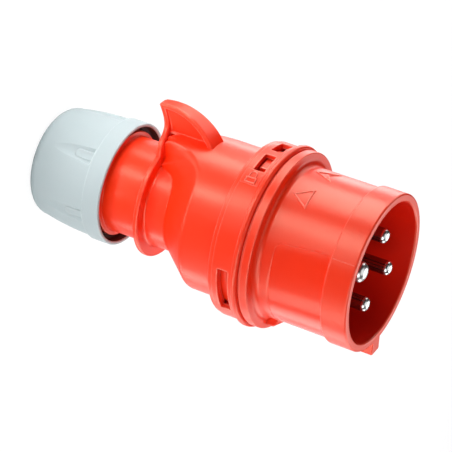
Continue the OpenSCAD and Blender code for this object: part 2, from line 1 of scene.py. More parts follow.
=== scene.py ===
"""Industrial pin and sleeve plug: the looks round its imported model, in metres, in the model's frame.

The plug stands on the end of its gland nut, and +Z runs along the axis towards the pins.
Radii, heights and widths are in millimetres, the camera and the lamps in metres. Angles are in
degrees about +Z.
"""
import math
import bpy
import numpy as np
from mathutils import Matrix, Vector


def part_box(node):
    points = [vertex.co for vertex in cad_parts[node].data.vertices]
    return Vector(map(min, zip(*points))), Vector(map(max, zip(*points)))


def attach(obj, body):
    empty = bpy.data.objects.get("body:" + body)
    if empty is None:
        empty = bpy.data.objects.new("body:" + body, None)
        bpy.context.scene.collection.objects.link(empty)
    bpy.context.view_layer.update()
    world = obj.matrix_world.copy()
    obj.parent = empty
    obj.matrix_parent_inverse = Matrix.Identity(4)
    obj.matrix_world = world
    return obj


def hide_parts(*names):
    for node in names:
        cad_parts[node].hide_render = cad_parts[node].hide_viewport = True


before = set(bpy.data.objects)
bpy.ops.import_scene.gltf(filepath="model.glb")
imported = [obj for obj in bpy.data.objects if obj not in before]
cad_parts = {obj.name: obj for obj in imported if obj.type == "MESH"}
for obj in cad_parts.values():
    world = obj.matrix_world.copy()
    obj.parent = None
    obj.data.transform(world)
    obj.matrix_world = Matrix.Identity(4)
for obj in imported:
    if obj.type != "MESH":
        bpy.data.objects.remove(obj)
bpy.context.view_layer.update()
MM = 0.001
SHARP_ANGLE = 34  # edges that turn by more stay sharp


def low_of(node):
    """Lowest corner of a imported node's box, in millimetres."""
    return np.array(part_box(node)[0]) / MM


def high_of(node):
    """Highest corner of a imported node's box, in millimetres."""
    return np.array(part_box(node)[1]) / MM


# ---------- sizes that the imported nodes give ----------
TOTAL = high_of("shroud")[2]
SKIRT_END = low_of("shroud")[2]
HOUSING_TOP = high_of("rear_housing")[2]
HOUSING_END = low_of("rear_housing")[2]
PLATE_BOTTOM, PLATE_TOP = low_of("face_plate")[2], high_of("face_plate")[2]
NUT_TOP = high_of("gland_nut")[2]
NUT_COLLAR_R = (high_of("gland_nut")[0] - low_of("gland_nut")[0]) / 2
CORES = ["l1", "l2", "l3", "earth"]
PINS = ["pin_" + core for core in CORES]

# ---------- front part ----------
MOUTH_R, TUBE_R, COLLAR_R = 24.6, 26.4, 27.4
COLLAR_END = TOTAL - 9.3
FLANGE_R = 30.9
FLANGE_TOP, FLANGE_BOTTOM = TOTAL - 34.4, TOTAL - 37.4
GROOVE_FLOOR_R, GROOVE_BOTTOM = 30.2, HOUSING_TOP + 0.12
COVE = 3.9
SKIRT_R = 27.6
LEDGE_R, LEDGE_BOTTOM = 21.5, PLATE_BOTTOM - 1.8
KEY_TURN, KEY_HALF, KEY_R, KEY_L, KEY_RISE = 26.6, 2.7, 32.2, 8.0, 3.0
CATCH_TURN, CATCH_HALF, CATCH_R, CATCH_L, CATCH_SLOPE = 6.6, 4.5, 29.2, 3.8, 1.4
LUG_R, LUG_Z, LUG_HALF = 28.8, (82.8, 85.8), 13.0
LUG_TURNS, LUG_PARK = (205, 343, 63), 30
FIELD_TURN, FIELD_HALF, FIELD_DEPTH = 308.0, 45.0, 0.15
SEAM_TURN, SEAM_HALF, SEAM_H = 262.0, 0.16, 0.07
ARROW_TURNS = (226.1, 194.1)

# ---------- pins ----------
PHASE_R, EARTH_R = 2.5, 3.5
DOME, DOME_POWER = 0.66, 0.85  # height of a pin's domed end as a share of its radius, and its flattening
FOOT_RING = 0.5
WIRE_HOLE_WALL = 0.9

# ---------- rear housing ----------
FIN_TURN = 203.0
BAND_R, BEAD_R, BODY_R, NECK_R, GUARD_R = 30.7, 31.89, 26.3, 17.1, 21.2
BEAD_H, BEAD_FOOT = 2.0, 2.1  # down to the end of the bead, and to the foot of its slope
BAND_BOTTOM = HOUSING_TOP - 11.3
BAND_FOOT_R, BAND_STEP = BAND_R - 0.35, (1.55, 1.75)
BODY_BOTTOM = BAND_BOTTOM - 13.1
SLOPE_BOTTOM = BODY_BOTTOM - 11.4
GUARD_TOP = SLOPE_BOTTOM - 8.0
GUARD_BOTTOM = GUARD_TOP - 1.8
GUARD_ROOT_R = NECK_R + 1.5
THREAD_R, THREAD_TOP, THREAD_PITCH, THREAD_DEPTH = 18.8, HOUSING_END + 22, 2.5, 0.9
NECK_IN_R, BODY_IN_R, WALL_DROP = 13.8, 23.6, 1
SKIRT_BORE, GROOVE_R, GROOVE_Z = 27.9, 29.1, (82.2, 86.4)
SEAL_SEAT = SKIRT_END - 1.5
WINDOW_Z = (82.4, 86.2)
WINDOWS = ((FIN_TURN - 9.2, 8.2), (FIN_TURN + 13.2, 8.2), (FIN_TURN + 107, 17.3), (FIN_TURN - 107, 17.3))
LOCK_TURN, LOCK_HALF = FIN_TURN + 27.0, 5.6
MARK_H = 0.34

# ---------- finger scoop ----------
SADDLE_HALF = 14.0  # angle from the fin where the scoop's edges begin to rise
EDGE_SPREAD = 8.5  # angle in which the gap between upper edge and body shrinks to 1/e
FOOT_SPREAD, FOOT_DROP, FOOT_LATE = 8.0, 6.0, 13
EDGE_SUNK, FOOT_SUNK = 0.8, 1.1  # how far the edges go down into the guard
EDGE_CUT, FOOT_CUT = 0.9, 0.4  # how far their rounding reaches
SCOOP_SPAN = 56  # angle from the fin that holds the whole scoop

# ---------- thumb fin ----------
FIN_R, FIN_ARC = 36.2, 20.4
ARC_R, ARC_Z = FIN_R - FIN_ARC, GUARD_TOP - 0.5
BAND_T, TIP_HALF, ROOT_HALF = 1.7, 2.2, 4.1
WEB_HALF = 1.15
TIP_OVER, TIP_POWER = 4.2, 2.2
BAND_STOP, BAND_FULL = 76, 60  # angles on the fin's arc where the band ends and where it has its root width
WEB_FOOT, WEB_TOP = 17.8, 64.5
PLATE_IN_R = 15.6  # radius inside the neck's wall where the guard's slab starts
RIM = 0.55  # rounding of the slab's rim
FLARE, FLARE_Y, FLARE_SPREAD = 6.4, 25.7, 1.3

# ---------- gland nut ----------
NUT_R, NUT_TAIL_R, NUT_ROUND, NUT_MOUTH_R, NUT_BORE = 21.3, 19.5, 4.9, 20.7, 19.1
NUT_STEP = NUT_TOP - 6.7
NUT_MOUTH_L, NUT_BORE_L = 3.4, 4.4  # from the collar's end to the slope in the mouth, and to its foot
NUT_SIDE_TOP = NUT_STEP - 0.6
NUT_WALL, SEAT_R, CABLE_HOLE_R = 3.0, 16.0, 9.5
FLUTES, FLUTE_TURN, FLUTE_TIP = 6, 8.0, 7.5
FLUTE_DEPTH, FLUTE_CUT = 1.35, 4.0
PAD_Z, PAD_R, PAD_FILL = 18.3, 1.35, 0.45
PAD_END = (16.2, 19.4)  # heights round the pads' ends, where the rows are fine


# ================= surfaces =================

def mix(a, b, t):
    """a where t is 0, b where t is 1, and a straight blend between them."""
    return a + (b - a) * t


def smooth_step(a, b, x):
    """0 below a, 1 above b, and 3 t squared minus 2 t cubed between them."""
    t = np.clip((x - a) / (b - a), 0, 1)
    return t * t * (3 - 2 * t)


def rounded_path(corners, cuts, runs, closed=True, arc=4):
    """Path through the corners, an array (..., n, 2) of (radius, height).

    A corner with a cut c becomes the circular arc that touches both of its sides at the
    distance c: the rational quadratic curve whose weight is cos(half the turn). The side
    after corner k gets runs[k] parts, the first and last of them short, to hold the shading.
    """
    corners = np.asarray(corners, float)
    n = corners.shape[-2]
    cuts = np.broadcast_to(np.asarray(cuts, float), corners.shape[:-1])
    sides = np.roll(corners, -1, -2) - corners
    length = np.linalg.norm(sides, axis=-1)
    heading = sides / np.maximum(length, 1e-9)[..., None]
    cut = np.minimum(cuts, 0.49 * np.minimum(length, np.roll(length, 1, -1)))
    before = corners - cut[..., None] * np.roll(heading, 1, -2)
    after = corners + cut[..., None] * heading
    turn = np.sum(heading * np.roll(heading, 1, -2), -1)
    weight = np.sqrt(np.clip((1 + turn) / 2, 0.02, 1))[..., None]
    path = []
    for k in range(n):
        open_end = not closed and k in (0, n - 1)
        if open_end or np.all(cuts[..., k] == 0):
            path.append(corners[..., k, :])
        else:
            for t in np.linspace(0, 1, arc + 1):
                parts = ((1 - t) ** 2, 2 * weight[..., k, :] * t * (1 - t), t * t)
                curve = parts[0] * before[..., k, :] + parts[1] * corners[..., k, :]
                path.append((curve + parts[2] * after[..., k, :]) / sum(parts))
        if runs[k] > 1 and not (not closed and k == n - 1):
            start = corners[..., k, :] if open_end else after[..., k, :]
            stop = before[..., (k + 1) % n, :]
            run = np.linalg.norm(stop - start, axis=-1)[..., None]
            lean = np.minimum(0.25 / np.maximum(run, 1e-6), 0.25)
            for i in range(runs[k] - 1):
                t = lean + (1 - 2 * lean) * i / max(1, runs[k] - 2)
                path.append(mix(start, stop, t))
    return np.stack(path, -2)


def grid_quads(nu, nv, wrap_u, wrap_v, first=0):
    """Quads of a grid of nu by nv points, joined round where a direction wraps."""
    u = np.arange(nu if wrap_u else nu - 1)[:, None]
    v = np.arange(nv if wrap_v else nv - 1)[None, :]
    u1, v1 = (u + 1) % nu, (v + 1) % nv
    corners = [u * nv + v, u1 * nv + v, u1 * nv + v1, u * nv + v1]
    return np.stack(corners, -1).reshape(-1, 4) + first


def volume_of(points, faces):
    """Signed volume inside the faces: the sum over fans of a . (b x c) / 6."""
    total = 0.0
    for face in faces:
        for k in range(1, face.shape[1] - 1):
            a, b, c = points[face[:, 0]], points[face[:, k]], points[face[:, k + 1]]
            total += np.sum(a * np.cross(b, c)) / 6
    return total


def piece(name, points, faces):
    """Mesh object from points in millimetres and a list of face arrays, faces turned outwards."""
    points = np.asarray(points, float).reshape(-1, 3)
    if volume_of(points, faces) < 0:
        faces = [face[:, ::-1] for face in faces]
    mesh = bpy.data.meshes.new(name)
    mesh.from_pydata((points * MM).tolist(), [], [row for face in faces for row in face.tolist()])
    mesh.validate()
    mesh.shade_smooth()
    made = bpy.data.objects.new(name, mesh)
    bpy.context.scene.collection.objects.link(made)
    return made


def turned(path, angles):
    """Points of paths (..., m, 2) of radius and height set at the angles, as (n, m, 3)."""
    angles = np.radians(np.asarray(angles, float))
    if angles.ndim == 1:
        angles = angles[:, None]
    r, z = np.broadcast_arrays(path[..., 0], path[..., 1])
    return np.stack(np.broadcast_arrays(r * np.cos(angles), r * np.sin(angles), z), -1)


def ring_piece(name, grid):
    """Closed ring: a grid (angles, loop, 3) that wraps both ways."""
    return piece(name, grid, [grid_quads(grid.shape[0], grid.shape[1], True, True)])


def spun(name, path, steps, place):
    """Solid of revolution of an open path that starts and ends on the axis, poles as fans."""
    inner = turned(path[1:-1], np.arange(steps) * 360 / steps)
    m = inner.shape[1]
    points = np.concatenate([inner.reshape(-1, 3), [[0, 0, path[0][1]], [0, 0, path[-1][1]]]])
    points = points + np.array([place[0], place[1], 0])
    k = np.arange(steps)
    next_k = (k + 1) % steps
    first = np.stack([next_k * m, k * m, np.full(steps, steps * m)], -1)
    last = np.stack([k * m + m - 1, next_k * m + m - 1, np.full(steps, steps * m + 1)], -1)
    return piece(name, points, [grid_quads(steps, m, True, False), first, last])


def loft(name, rings):
    """Solid through closed rings (k, m, 3), with a flat face over each end."""
    rings = np.asarray(rings, float)
    k, m = rings.shape[:2]
    ends = [np.arange(m)[None, :], ((k - 1) * m + np.arange(m))[None, ::-1]]
    return piece(name, rings, [grid_quads(k, m, False, True), *ends])


def rotated(x, y, z, turn):
    """Points (x, y, z) turned about the axis by an angle."""
    c, s = math.cos(math.radians(turn)), math.sin(math.radians(turn))
    return np.stack(np.broadcast_arrays(x * c - y * s, x * s + y * c, z), -1)


def to_fin(points):
    """Points given as (across, outwards, up) from the fin's plane, turned to the fin."""
    points = np.asarray(points, float)
    return rotated(points[..., 1], points[..., 0], points[..., 2], FIN_TURN)


def joined(base, others, how="UNION"):
    """The base with the others united to it, or cut from it, as one clean mesh."""
    for other in others:
        step = base.modifiers.new("join", "BOOLEAN")
        step.operation = how
        step.solver = "MANIFOLD"
        step.object = other
    graph = bpy.context.evaluated_depsgraph_get()
    mesh = bpy.data.meshes.new_from_object(base.evaluated_get(graph))
    base.modifiers.clear()
    old = base.data
    base.data = mesh
    bpy.data.meshes.remove(old)
    for other in others:
        bpy.data.objects.remove(other, do_unlink=True)
    return base


def finish_shading(made):
    """Smooth faces with sharp edges kept above an angle, and normals weighed by area."""
    made.data.shade_smooth()
    made.data.set_sharp_from_angle(angle=math.radians(SHARP_ANGLE))
    weigh = made.modifiers.new("weigh", "WEIGHTED_NORMAL")
    weigh.keep_sharp = True
    weigh.weight = 60
    return made


# ================= rear housing =================

def saddle_edge(b):
    """Height of the scoop's upper edge at the angle b from the fin: it nears the body exponentially."""
    return BODY_BOTTOM - (BODY_BOTTOM - GUARD_TOP) * np.exp(-(b - SADDLE_HALF) / EDGE_SPREAD)


def saddle_foot(b):
    """Height of the scoop's lower edge at the angle b from the fin, with the same kind of curve."""
    return SLOPE_BOTTOM - FOOT_DROP * np.exp(-(b - SADDLE_HALF - FOOT_LATE) / FOOT_SPREAD)


def housing_angles():
    """Angles from the fin: fine steps round the scoop, wider ones round the back."""
    near = np.arange(-SCOOP_SPAN, SCOOP_SPAN, 0.7)
    far = np.linspace(SCOOP_SPAN, 360 - SCOOP_SPAN, 150, endpoint=False)
    return np.concatenate([near, far])


def housing_shell():
    """Closed profile turned about the axis, whose two scoop corners rise and fall with the angle."""
    b = housing_angles()
    side = np.abs((b + 180) % 360 - 180)
    edge = np.maximum(saddle_edge(side), GUARD_TOP - EDGE_SUNK)
    foot = np.clip(saddle_foot(side), GUARD_TOP - FOOT_SUNK, edge - 0.3)
    under = np.minimum(GUARD_TOP, foot - 0.15)
    # both edges keep their width where they run steeply, and the upper one is nearly sharp by the fin
    edge_slope = (BODY_BOTTOM - saddle_edge(side)) / EDGE_SPREAD / np.radians(BODY_R)
    foot_slope = (SLOPE_BOTTOM - saddle_foot(side)) / FOOT_SPREAD / np.radians(NECK_R)
    near_fin = np.exp(-np.maximum(side - SADDLE_HALF, 0) / 9)
    ridge_cut = (EDGE_CUT + EDGE_CUT * near_fin) * np.hypot(1, edge_slope)
    ridge_cut = ridge_cut * mix(0.15, 1, smooth_step(8, 15, side))
    foot_cut = FOOT_CUT * np.hypot(1, foot_slope)
    one = np.ones_like(b)

    def at(r, z):
        """A corner at the radius and height, at every angle."""
        return np.stack([r * one, z * one], -1)

    rows = [  # corner, how far its rounding reaches, parts of the side after it
        (at(SKIRT_BORE, HOUSING_TOP), 0.25, 1),
        (at(BEAD_R, HOUSING_TOP), 0.95, 1),
        (at(BEAD_R, HOUSING_TOP - BEAD_H), 0.9, 1),
        (at(BAND_R, HOUSING_TOP - BEAD_FOOT), 0.25, 16),
        (at(BAND_R, BAND_BOTTOM + BAND_STEP[1]), 0.12, 1),
        (at(BAND_FOOT_R, BAND_BOTTOM + BAND_STEP[0]), 0.12, 2),
        (at(BAND_FOOT_R, BAND_BOTTOM), 0.6, 2),
        (at(BODY_R, BAND_BOTTOM), 0.8, 14),
        (at(BODY_R, edge), np.minimum(ridge_cut, 7), 14),
        (at(NECK_R, foot), np.minimum(foot_cut, 3), 8),
        (at(NECK_R, under), 0.9, 2),
        (at(GUARD_ROOT_R, under), 0, 1),
        (at(GUARD_ROOT_R, GUARD_BOTTOM), 0, 1),
        (at(NECK_R, GUARD_BOTTOM), 0.6, 8),
        (at(NECK_R, THREAD_TOP + 0.1), 0.3, 1),
        (at(THREAD_R, THREAD_TOP + 0.1), 0.35, 60),
        (at(THREAD_R, HOUSING_END), 1.0, 1),
        (at(NECK_IN_R, HOUSING_END), 0.5, 6),
        (at(NECK_IN_R, SLOPE_BOTTOM - WALL_DROP), 1.0, 6),
        (at(BODY_IN_R, BODY_BOTTOM - WALL_DROP), 1.0, 4),
        (at(BODY_IN_R, SEAL_SEAT), 0.1, 1),
        (at(SKIRT_BORE, SEAL_SEAT), 0.1, 1),
        (at(SKIRT_BORE, GROOVE_Z[0]), 0.1, 1),
        (at(GROOVE_R, GROOVE_Z[0]), 0.1, 1),
        (at(GROOVE_R, GROOVE_Z[1]), 0.1, 1),
        (at(SKIRT_BORE, GROOVE_Z[1]), 0.1, 1),
    ]
    corners = np.stack([row[0] for row in rows], -2)
    cuts = np.stack([row[1] * one for row in rows], -1)
    path = rounded_path(corners, cuts, [row[2] for row in rows])
    r, z = path[..., 0], path[..., 1]
    # gland thread: a helical ridge that fades in above the end and out below the shoulder
    turn = (z / THREAD_PITCH - (b[:, None] + FIN_TURN) / 360) % 1
    ridge = np.clip(1.6 * np.abs(2 * turn - 1) - 0.3, 0, 1)
    fade = smooth_step(HOUSING_END + 0.6, HOUSING_END + 2.2, z)
    fade = fade * (1 - smooth_step(THREAD_TOP - 2.2, THREAD_TOP - 1.6, z))
    thread = (r > THREAD_R - 0.05) & (r < THREAD_R + 0.05) & (z < THREAD_TOP)
    r = r - np.where(thread, THREAD_DEPTH * ridge * fade, 0)
    return ring_piece("rear_housing_shell", turned(np.stack([r, z], -1), b + FIN_TURN))


def fin_rear(y):
    """Height of the rear face at the distance y from the axis: it leans back as a power curve."""
    return GUARD_BOTTOM - TIP_OVER * np.clip((y - GUARD_R) / (FIN_R - GUARD_R), 0, 1) ** TIP_POWER


def plate_half(y):
    """Half width of the plate: wide by the guard and slim up the fin, a logistic curve."""
    return TIP_HALF - 0.1 + FLARE / (1 + np.exp((y - FLARE_Y) / FLARE_SPREAD))


def guard_and_plate():
    """Disc and fin plate as one slab: the outline is carried round, with a rounded rim."""
    top_y = ARC_R + math.sqrt(FIN_ARC ** 2 - (ARC_Z - fin_rear(35.5)) ** 2) - 0.1
    ys = np.linspace(19.0, top_y, 60)
    half = plate_half(ys)
    keep = np.hypot(half, ys) > GUARD_R
    ys, half = ys[keep], half[keep]
    corner = 0.5 * (1 - np.sqrt(np.clip(1 - (np.clip(ys - top_y + 0.5, 0, 0.5) / 0.5) ** 2, 0, 1)))
    half = half - corner
    start = math.degrees(math.atan2(half[0], ys[0]))
    turns = np.radians(np.linspace(start + 1.5, 360 - start - 1.5, 150))
    disc = np.stack([GUARD_R * np.sin(turns), GUARD_R * np.cos(turns)], -1)
    cap_x = np.linspace(-half[-1], half[-1], 7)[1:-1]
    outline = np.concatenate([
        np.stack([-half, ys], -1), np.stack([cap_x, np.full(5, top_y)], -1),
        np.stack([half, ys], -1)[::-1], disc])
    reach = np.linalg.norm(outline, axis=-1, keepdims=True)
    inner = outline / reach * PLATE_IN_R
    ahead = np.roll(outline, -1, 0) - np.roll(outline, 1, 0)
    normal = np.stack([ahead[:, 1], -ahead[:, 0]], -1)
    normal /= np.linalg.norm(normal, axis=-1, keepdims=True)
    normal *= np.sign(np.sum(normal * outline, -1, keepdims=True) + 1e-9)
    thick, edge = GUARD_TOP - GUARD_BOTTOM, RIM
    flat = [mix(inner, outline - normal * edge, t) for t in (0, 0.5, 0.9, 1)]
    section = [(line, 0) for line in flat]  # lines round the slab, with their height over its rear face
    for middle, turns in ((edge, (-60, -30, 0)), (thick - edge, (0, 30, 60))):
        for turn in np.radians(turns):
            section.append((outline - normal * edge * (1 - math.cos(turn)), middle + edge * math.sin(turn)))
    section += [(line, thick) for line in flat[::-1]]
    grid = [np.stack([line[:, 0], line[:, 1], fin_rear(line[:, 1]) + lift], -1) for line, lift in section]
    return ring_piece("guard_plate", to_fin(np.stack(grid, 1)))


def arc_height(y, radius):
    """Height of the fin's arc at the distance y from the axis: a circle's upper half."""
    return ARC_Z + np.sqrt(np.maximum(radius ** 2 - (y - ARC_R) ** 2, 0))


def fin_web():
    """Web: rectangles from the rear plate forward to the band, carried outwards."""
    ys = np.linspace(WEB_FOOT, ARC_R + (FIN_ARC - BAND_T) * 0.985, 26)
    back = fin_rear(ys) + 0.9
    front = np.minimum(arc_height(ys, FIN_ARC - 0.8), WEB_TOP)
    x = np.array([-WEB_HALF, WEB_HALF, WEB_HALF, -WEB_HALF])
    z = np.stack([back, back, front, front], -1)
    return loft("fin_web", to_fin(np.stack(np.broadcast_arrays(x, ys[:, None], z), -1)))


def fin_band():
    """Band: a rounded rectangle carried along the fin's arc, wider towards the body."""
    low = math.asin((fin_rear(35.4) + RIM - ARC_Z) / FIN_ARC)
    turns = np.linspace(low, math.radians(BAND_STOP), 64)
    t = (turns - low) / (math.radians(BAND_FULL) - low)
    half = mix(TIP_HALF, ROOT_HALF, np.clip(t, 0, 1.2))
    across = np.stack([-half, half, half, -half], -1)
    corners = np.stack(np.broadcast_arrays(across, [-BAND_T, -BAND_T, 0, 0]), -1)
    path = rounded_path(corners, [0.3, 0.3, 0.7, 0.7], [3, 2, 3, 2])
    end = np.clip(1 - (turns - low) * FIN_ARC / 0.5, 0, 1)
    shrink = 0.5 * (1 - np.sqrt(1 - end ** 2))
    middle = np.array([0, -BAND_T / 2])
    away = path - middle
    size = np.linalg.norm(away, axis=-1, keepdims=True)
    path = middle + away * np.maximum(size - shrink[:, None, None], 0.05) / size
    radius = FIN_ARC + path[..., 1]
    y = ARC_R + radius * np.cos(turns)[:, None]
    z = ARC_Z + radius * np.sin(turns)[:, None]
    return loft("fin_band", to_fin(np.stack([path[..., 0], y, z], -1)))


def web_fillet(sign):
    """Concave strip between the web and the body under it, one section at each height."""
    radius = 0.55
    heights = np.linspace(GUARD_TOP - 0.9, 60.5, 24)
    a = np.radians(np.linspace(180, 270, 7))
    x = WEB_HALF + radius + radius * np.cos(a)
    seat = np.sqrt(BODY_R ** 2 - x ** 2)
    y = seat + radius + radius * np.sin(a) - 0.02
    x = np.concatenate([[WEB_HALF - 0.5], x - 0.02, [WEB_HALF + radius + 0.1, WEB_HALF - 0.5]])
    y = np.concatenate([[y[0]], y, [seat[-1] - 0.4, seat[-1] - 0.6]])
    rings = [np.stack([sign * x, y, np.full_like(x, z)], -1) for z in heights]
    return loft("web_fillet", to_fin(rings))


def plate_fillet(sign):
    """Concave strip between the web and the leaning plate, one section at each distance outwards."""
    radius = 0.85
    ys = np.linspace(BODY_R - 2.5, FIN_R - 1.9, 30)
    a = np.radians(np.linspace(180, 270, 8))
    face = fin_rear(ys)[:, None] + GUARD_TOP - GUARD_BOTTOM
    root = WEB_HALF + radius
    x = np.concatenate([[WEB_HALF - 0.5], root - 0.02 + radius * np.cos(a), [root, WEB_HALF - 0.5]])
    lift = np.concatenate([[radius], radius - 0.02 + radius * np.sin(a), [-0.5, -0.5]])
    z = face + lift
    rings = np.stack(np.broadcast_arrays(sign * x, ys[:, None], z), -1)
    return loft("plate_fillet", to_fin(rings))


def wrapped(name, turn, half, low, high, layers, corner=0.4, slant=0.0):
    """Block bent round the axis: each layer is (radius, how much wider it is all round).

    Across, its ends shrink in height by a quarter circle, which rounds the corners; the first
    end can slant by a length per height. Its faces follow the cylinder at every layer.
    """
    bend = np.linspace(0, math.pi / 2, 7)
    count = max(6, int(2 * half / 0.7))
    ends = corner * (1 - np.cos(bend[:-1]))
    middle = np.linspace(corner - half, half - corner, count)
    across = np.concatenate([-half + ends, middle, (half - ends)[::-1]])
    past = np.maximum(corner - (half - np.abs(across)), 0)
    inset = corner - np.sqrt(np.maximum(corner ** 2 - past ** 2, 0))
    radius = np.array([layer[0] for layer in layers])
    more = np.array([layer[1] for layer in layers])
    wide = across[:, None] * (half + more) / half
    bottom = low - more + inset[:, None]
    top = high + more - inset[:, None]
    wide = np.concatenate([wide, wide[:, ::-1]], 1)
    z = np.concatenate([bottom, top[:, ::-1]], 1)
    r = np.concatenate([radius, radius[::-1]])
    share = np.clip((half - across[:, None]) / (2 * half), 0, 1)
    wide = wide + slant * share * (z - (low + high) / 2)
    angle = wide / np.radians(BAND_R if radius[-1] > BAND_R else TUBE_R) + turn
    return loft(name, turned(np.stack([np.broadcast_to(r, z.shape), z], -1), angle))


def window_cutter(turn, half):
    """Window through the band, its rim eased at the outside."""
    layers = [(SKIRT_BORE + 0.25, 0), (BAND_R - 0.22, 0), (BAND_R - 0.08, 0.03), (BAND_R + 0.02, 0.16),
              (BAND_R + 0.8, 0.3)]
    return wrapped("window_cutter", turn, math.radians(half) * BAND_R, *WINDOW_Z, layers)


def way_cutter(turn):
    """Way in for a bayonet lug, open to the front: a sector between two radii, lifted straight up."""
    angles = turn + np.linspace(-LUG_HALF - 0.6, LUG_HALF + 0.6, 14)
    inner = turned(np.array([[[SKIRT_BORE - 1, WINDOW_Z[0]]]]), angles)[:, 0]
    outer = turned(np.array([[[GROOVE_R - 0.05, WINDOW_Z[0]]]]), angles)[:, 0]
    low = np.concatenate([inner, outer[::-1]])
    high = low + np.array([0, 0, HOUSING_TOP + 1 - WINDOW_Z[0]])
    return loft("way_cutter", [low, high])


def unrolled(corners):
    """Closed line through corners of (across, height) in millimetres, in parts of about a step."""
    step = 0.8
    corners = np.asarray(corners, float)
    sides = np.roll(corners, -1, 0) - corners
    counts = np.maximum(1, np.ceil(np.linalg.norm(sides, axis=1) / step)).astype(int)
    parts = [mix(a, a + side, np.arange(n)[:, None] / n) for a, side, n in zip(corners, sides, counts)]
    return np.concatenate(parts)


def ridge(name, line, turn, radius, width, height):
    """Low rounded ridge along a closed line of (across, height) wrapped on a cylinder.

    The section's half-round is carried along mitred normals, and its sides go down into the wall.
    """
    ahead = np.roll(line, -1, 0) - line
    ahead /= np.linalg.norm(ahead, axis=1, keepdims=True)
    normal = np.stack([-ahead[:, 1], ahead[:, 0]], -1)
    before = np.roll(normal, 1, 0)
    mitre = (normal + before) / (1 + np.sum(normal * before, -1, keepdims=True))
    a = np.radians(np.linspace(180, 0, 7))
    across = np.concatenate([[-0.5], 0.5 * np.cos(a), [0.5]]) * width
    lift = np.concatenate([[-0.3], height * np.sin(a) - 0.01, [-0.3]])
    flat = line[:, None, :] + mitre[:, None, :] * across[None, :, None]
    angle = flat[..., 0] / np.radians(radius) + turn
    grid = turned(np.stack([np.broadcast_to(radius + lift, angle.shape), flat[..., 1]], -1), angle)
    return ring_piece(name, grid)


def lock_mark():
    """Plain padlock in outline on a slightly raised field beside the first window."""
    low, high = GROOVE_Z[0] - 1.6, GROOVE_Z[1] + 0.4
    layers = [(BAND_R - 0.4, 0.12), (BAND_R + 0.02, 0.12), (BAND_R + 0.12, 0.06), (BAND_R + 0.16, -0.06)]
    field = wrapped("lock_field", LOCK_TURN, np.radians(LOCK_HALF) * BAND_R, low, high, layers)
    middle = (low + high) / 2
    foot, head, half = 0.55, 2.3, 1.7
    bow_foot, bow_l, bow_r = 0.9, 1.2, 1.15
    base, top = middle - half, middle + half
    body = unrolled([[foot, base], [head, base], [head, top], [foot, top]])
    a = np.linspace(math.pi, 0, 13)[:, None]
    outer = np.concatenate([-bow_foot - bow_l * np.sin(a), middle + bow_r * np.cos(a)], 1)
    bow = unrolled(np.concatenate([[[0.5, middle - bow_r]], outer, [[0.5, middle + bow_r]]]))
    return [field], [ridge("lock_body", body, LOCK_TURN, BAND_R + 0.14, 0.5, MARK_H),
                     ridge("lock_bow", bow, LOCK_TURN, BAND_R + 0.14, 0.5, MARK_H)]


def make_rear_housing():
    """Shell with the grip and the marks united to it, and the windows and lug ways cut out."""
    shell = housing_shell()
    shell.name = "rear_housing_moulding"
    fillets = [web_fillet(1), web_fillet(-1), plate_fillet(1), plate_fillet(-1)]
    joined(shell, [guard_and_plate(), fin_web(), fin_band(), *fillets])
    field, marks = lock_mark()
    joined(shell, field)
    joined(shell, marks)
    cutters = [window_cutter(turn, half) for turn, half in WINDOWS]
    cutters += [way_cutter(turn + LUG_PARK) for turn in LUG_TURNS]
    joined(shell, cutters, "DIFFERENCE")
    return finish_shading(shell)


# ================= front part =================

def shroud_shell():
    """Closed profile turned about the axis: mouth, collar, tube, cove, flange, skirt and ledge."""
    corners = [
        (MOUTH_R, TOTAL), (COLLAR_R, TOTAL), (COLLAR_R, COLLAR_END), (TUBE_R, COLLAR_END),
        (TUBE_R, FLANGE_TOP), (FLANGE_R, FLANGE_TOP), (FLANGE_R, FLANGE_BOTTOM),
        (GROOVE_FLOOR_R, FLANGE_BOTTOM), (GROOVE_FLOOR_R, GROOVE_BOTTOM), (SKIRT_R, GROOVE_BOTTOM),
        (SKIRT_R, SKIRT_END), (MOUTH_R, SKIRT_END),
        (MOUTH_R, LEDGE_BOTTOM), (LEDGE_R, LEDGE_BOTTOM), (LEDGE_R, PLATE_BOTTOM), (MOUTH_R, PLATE_BOTTOM)]
    cuts = [0.6, 0.7, 0.75, 0.15, COVE, 0.4, 0.45, 0.1, 0.1, 0.1, 0.4, 0.3, 0.1, 0.2, 0.2, 0.1]
    runs = [2, 8, 1, 24, 1, 2, 2, 1, 2, 4, 2, 1, 1, 1, 1, 12]
    path = rounded_path(corners, cuts, runs, arc=6)
    return ring_piece("shroud_moulding", turned(path, np.arange(300) * 1.2))


def rounded_bar(name, turn, half, tops, low_r, edge=0.5):
    """Bar along the axis: rounded rectangles from low_r out to tops, a list of (height, radius)."""
    heights = np.array([top[0] for top in tops])
    radii = np.array([top[1] for top in tops])
    bend = edge * (1 - np.cos(np.linspace(0, math.pi / 2, 5)))
    z = np.concatenate([heights[0] + bend, np.linspace(heights[0] + edge, heights[-1] - edge, 24)[1:-1],
                        heights[-1] - bend[::-1]])
    gap = np.minimum(z - heights[0], heights[-1] - z)
    inset = edge * (1 - np.sqrt(np.clip(1 - (1 - np.clip(gap / edge, 0, 1)) ** 2, 0, 1)))
    out = np.interp(z, heights, radii) - inset
    wide = half - inset
    inner = np.full_like(z, low_r)
    corners = np.stack([np.stack([inner, out, out, inner], -1), np.stack([-wide, -wide, wide, wide], -1)], -1)
    path = rounded_path(corners, [0, edge, edge, 0], [3, 3, 3, 1])
    return loft(name, rotated(path[..., 0], path[..., 1], z[:, None], turn))


